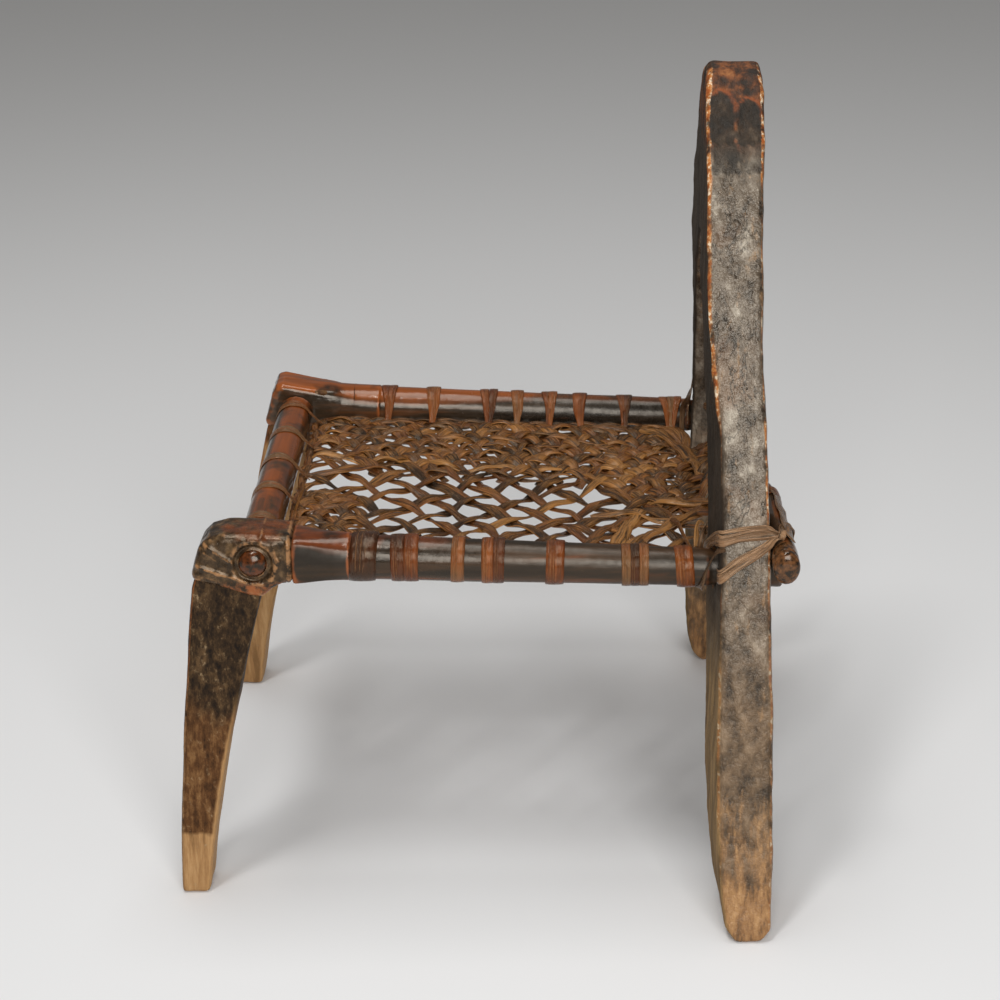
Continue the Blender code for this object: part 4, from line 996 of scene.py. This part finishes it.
SLEEVE_HALF = 0.0172
SLEEVE_SINK = {"left": 0.0018, "right": 0.0024}
# Creases of the near sleeve's cheek: start, end, height and width
CREASES = (
    ((-0.0325, 0.0134), (-0.0144, 0.0012), 0.0009, 0.0017),
    ((-0.0300, 0.0070), (-0.0170, -0.0030), 0.0005, 0.0014),
    ((-0.0358, -0.0021), (-0.0232, -0.0068), 0.0010, 0.0016),
    ((-0.0232, -0.0068), (-0.0040, -0.0122), 0.0010, 0.0016),
    ((-0.0040, -0.0122), (0.0055, -0.0142), 0.0008, 0.0016),
    ((0.0135, 0.0120), (0.0165, 0.0010), 0.0006, 0.0018),
    ((0.0165, 0.0010), (0.0120, -0.0115), 0.0006, 0.0018),
)
SLEEVE_CUTS = {
    "Scoop size": 0.012, "Scoop depth": 0.0006, "Dent size": 0.0050, "Dent depth": 0.0003,
    "Ripple size": 0.014, "Ripple depth": 0.0010, "Grain": (1.0, 0.6, 1.0),
}


def ridge(u, w, start, end, width):
    """How near a point of the side view lies to a crease, from 1 on it to 0."""
    a, along = np.array(start), np.array(end) - np.array(start)
    share = np.clip(((u - a[0]) * along[0] + (w - a[1]) * along[1]) / np.dot(along, along), 0.0, 1.0)
    away = np.hypot(u - a[0] - share * along[0], w - a[1] - share * along[1])
    return np.exp(-(away / width) ** 2)


def sleeve_body(word, side):
    """The sleeve's plain form: its side view across the leg's width, with soft edges."""
    lean, over, under = HEADS[word]
    bm = bmesh.new()
    rows = []
    for offset in (-SLEEVE_HALF, SLEEVE_HALF):
        rows.append([bm.verts.new((
            side * (RAIL_X - lean * w) + offset, FRONT_RAIL_Y + u, FRONT_RAIL_Z + w)) for u, w in over + under])
    count = len(rows[0])
    for k in range(count):
        j = (k + 1) % count
        bm.faces.new((rows[0][k], rows[0][j], rows[1][j], rows[1][k]))
    bm.faces.new(list(reversed(rows[0])))
    bm.faces.new(rows[1])
    bmesh.ops.recalc_face_normals(bm, faces=bm.faces)
    mesh = bpy.data.meshes.new("sleeve_shape")
    bm.to_mesh(mesh)
    bm.free()
    obj = link("corner_sleeve_%s_hide" % word, mesh)
    soft = obj.modifiers.new("soft_edges", "BEVEL")
    soft.width = 0.0055
    soft.segments = 4
    soft.limit_method = "ANGLE"
    soft.angle_limit = math.radians(50)
    return obj


def make_sleeve(word, side):
    obj = carve(sleeve_body(word, side), SLEEVE_FINISHES[word], 0.0008, 6, SLEEVE_CUTS)
    if word == "right":
        ease_block(obj.data, BLOCK_ROUND + 0.0009)
    place, normal = points_of(obj.data), normals_of(obj.data)
    u, w = place[:, 1] - FRONT_RAIL_Y, place[:, 2] - FRONT_RAIL_Z
    radius = np.hypot(u, w)
    cheek = np.clip(side * normal[:, 0], 0.0, 1.0) ** 0.5
    push = 0.0008 * np.exp(-((radius - 0.0148) / 0.0024) ** 2) - 0.0012 * np.exp(-((radius - 0.0112) / 0.0012) ** 2)
    reach = 1.0 if word == "left" else 0.6
    for start, end, size, width in CREASES:
        push = push + size * ridge(u / np.where(u < 0, reach, 1.0), w, start, end, width)
    seam = (0.0009 if word == "left" else 0.0) * np.exp(-((u - 0.0058) / 0.0016) ** 2) * np.clip(normal[:, 2], 0.0, 1.0)
    lip = (0.0007 if word == "left" else 0.0) * np.exp(-((u - 0.0224) / 0.0012) ** 2)
    sunk = smooth((u - 0.0232) / 0.0034) if word == "left" else smooth((u - 0.0240) / 0.0200)
    push_out(obj.data, push * cheek + seam + lip - SLEEVE_SINK[word] * sunk)
    mark_wear(obj.data, 3)
    return show(obj, ["corner_sleeve_" + word])


make_sleeve("left", 1)
make_sleeve("right", -1)


# Lashings of the rear rail: half width, tone, and the strip's places with the way it faces there
AHEAD, ROUND, OUT, OVER = (0, -1, 0), (0.7, -0.7, 0.2), (0.94, 0, 0.34), (0.2, 0, 1)
DOWN, BEHIND, TURNED, UNDER, IN = (0, 0.7, 0.7), (0, 1, 0), (0, 0.5, -0.8), (0, 0, -1), (-0.94, 0, -0.3)
RETURN = (
    ((0.1400, 0.1930, 0.2512), OVER), ((0.1330, 0.1985, 0.2470), DOWN), ((0.1260, 0.1995, 0.2380), BEHIND),
    ((0.1120, 0.1975, 0.2300), TURNED), ((0.1010, 0.1880, 0.2262), UNDER), ((0.1000, 0.1790, 0.2310), IN),
    ((0.0990, 0.1620, 0.2410), IN), ((0.1050, 0.1520, 0.2440), IN),
)
LOOPS = (
    (0.0013, 0.85, (
        ((0.1160, 0.1432, 0.2265), AHEAD), ((0.1285, 0.1444, 0.2360), AHEAD), ((0.1420, 0.1472, 0.2455), AHEAD),
        ((0.1548, 0.1500, 0.2532), AHEAD),
        ((0.1582, 0.1530, 0.2545), ROUND), ((0.1571, 0.1666, 0.2566), OUT), ((0.1562, 0.1800, 0.2572), OUT),
        ((0.1562, 0.1860, 0.2545), OVER), ((0.1540, 0.1905, 0.2524), OVER)) + RETURN),
    (0.0038, 0.55, (
        ((0.1190, 0.1436, 0.2240), AHEAD), ((0.1300, 0.1450, 0.2335), AHEAD), ((0.1430, 0.1474, 0.2420), AHEAD),
        ((0.1562, 0.1499, 0.2482), AHEAD),
        ((0.1598, 0.1530, 0.2490), ROUND), ((0.1582, 0.1666, 0.2518), OUT), ((0.1574, 0.1800, 0.2530), OUT),
        ((0.1572, 0.1860, 0.2530), OVER), ((0.1548, 0.1908, 0.2520), OVER)) + RETURN),
    (0.0030, 0.70, (
        ((0.1610, 0.1495, 0.2240), AHEAD), ((0.1672, 0.1516, 0.2262), ROUND), ((0.1644, 0.1635, 0.2345), OUT),
        ((0.1610, 0.1790, 0.2440), OUT), ((0.1598, 0.1850, 0.2500), OVER), ((0.1565, 0.1905, 0.2518), OVER)) + RETURN),
    (0.0016, 0.90, (
        ((0.1600, 0.1492, 0.2290), AHEAD), ((0.1658, 0.1514, 0.2305), ROUND), ((0.1632, 0.1635, 0.2385), OUT),
        ((0.1604, 0.1790, 0.2462), OUT), ((0.1590, 0.1850, 0.2512), OVER), ((0.1560, 0.1905, 0.2522), OVER)) + RETURN),
    # The loop below runs down the front side under the rail; its low tone is painted shade there.
    (0.0022, 0.30, (
        ((0.1180, 0.1450, 0.2450), AHEAD), ((0.1260, 0.1405, 0.2330), IN), ((0.1255, 0.1395, 0.2150), UNDER),
        ((0.1400, 0.1390, 0.2095), UNDER), ((0.1532, 0.1400, 0.2150), ROUND), ((0.1545, 0.1435, 0.2280), AHEAD),
        ((0.1560, 0.1490, 0.2400), AHEAD), ((0.1605, 0.1540, 0.2440), OUT))),
    (0.0044, 0.60, (
        ((0.1600, 0.1955, 0.2512), DOWN), ((0.1300, 0.1942, 0.2502), DOWN), ((0.1000, 0.1930, 0.2496), DOWN),
        ((0.0800, 0.1922, 0.2490), DOWN))),
    (0.0024, 0.75, (
        ((0.1565, 0.1880, 0.2500), BEHIND), ((0.1610, 0.1890, 0.2508), OUT), ((0.1590, 0.1905, 0.2545), OVER),
        ((0.1535, 0.1920, 0.2538), OVER), ((0.1530, 0.1945, 0.2505), DOWN))),
)
BAND_STEP = 0.0020


def make_lashing(word, side):
    rng = np.random.default_rng(31 if side > 0 else 32)
    winding = Winding()
    for breadth, tone, corners in LOOPS:
        line = flow([(*place, *facing) for place, facing in corners], BAND_STEP) * np.array((side, 1, 1, side, 1, 1))
        run = np.arange(len(line)) * BAND_STEP
        facings = twisted(line[:, :3], line[:, 3:], waves(rng, run, ((0.10, 0.030),)))
        sizes = breadth * (1 + waves(rng, run, ((0.10, 0.028),)))
        winding.add(line[:, :3], facings, sizes, tone, 0.3 + waves(rng, run, ((0.5, 0.040),)))
    winding.make("rear_lashing_%s_bands" % word, ["rear_lashing_" + word], LASHING_HIDE, 0.13, 0.0004)


make_lashing("left", 1)
make_lashing("right", -1)


# Floor, light and camera
def make_floor():
    bm = bmesh.new()
    bmesh.ops.create_grid(bm, x_segments=1, y_segments=1, size=9.0)
    mesh = bpy.data.meshes.new("floor")
    bm.to_mesh(mesh)
    bm.free()
    floor = link("floor", mesh)
    material = bpy.data.materials.new("pale_floor")
    material.use_nodes = True
    shader = material.node_tree.nodes["Principled BSDF"]
    shader.inputs["Base Color"].default_value = (0.80, 0.80, 0.80, 1.0)
    shader.inputs["Roughness"].default_value = 0.9
    shader.inputs["Specular IOR Level"].default_value = 0.1
    mesh.materials.append(material)


def area_light(name, place, target, wide, high, power):
    data = bpy.data.lights.new(name, "AREA")
    data.shape = "RECTANGLE"
    data.size = wide
    data.size_y = high
    data.energy = power
    light = bpy.data.objects.new(name, data)
    light.location = place
    light.rotation_euler = (Vector(target) - Vector(place)).to_track_quat("-Z", "Y").to_euler()
    bpy.context.scene.collection.objects.link(light)


def make_camera():
    pitch, yaw, roll = math.radians(22.49), -0.0296, 0.0141
    forward = Vector((-math.cos(pitch) * math.cos(yaw), math.cos(pitch) * math.sin(yaw), -math.sin(pitch)))
    level = Vector((math.sin(yaw), math.cos(yaw), 0.0))
    upright = level.cross(forward)
    right = level * math.cos(roll) - upright * math.sin(roll)
    up = level * math.sin(roll) + upright * math.cos(roll)
    data = bpy.data.cameras.new("photo_view")
    data.sensor_width = 36.0
    data.lens = 88.09
    camera = bpy.data.objects.new("photo_view", data)
    place = Matrix((right, up, -forward)).transposed().to_4x4()
    place.translation = (1.5838, 0.0540, 0.8676)
    camera.matrix_world = place
    bpy.context.scene.collection.objects.link(camera)
    bpy.context.scene.camera = camera


def make_world():
    world = bpy.data.worlds.new("studio")
    world.use_nodes = True
    background = world.node_tree.nodes["Background"]
    background.inputs["Color"].default_value = (0.92, 0.90, 0.87, 1.0)
    background.inputs["Strength"].default_value = 0.22
    bpy.context.scene.world = world


make_floor()
area_light("key_light", (2.30, 0.32, 1.40), (0.10, 0.10, 0.25), 1.5, 1.3, 46.0)
area_light("front_light", (0.60, -0.34, 2.20), (0.0, 0.0, 0.2), 0.22, 0.7, 12.0)
area_light("top_light", (-0.30, 0.0, 2.20), (0.0, 0.0, 0.2), 0.9, 0.9, 12.0)
make_world()
make_camera()
bpy.context.scene.view_settings.view_transform = "Standard"
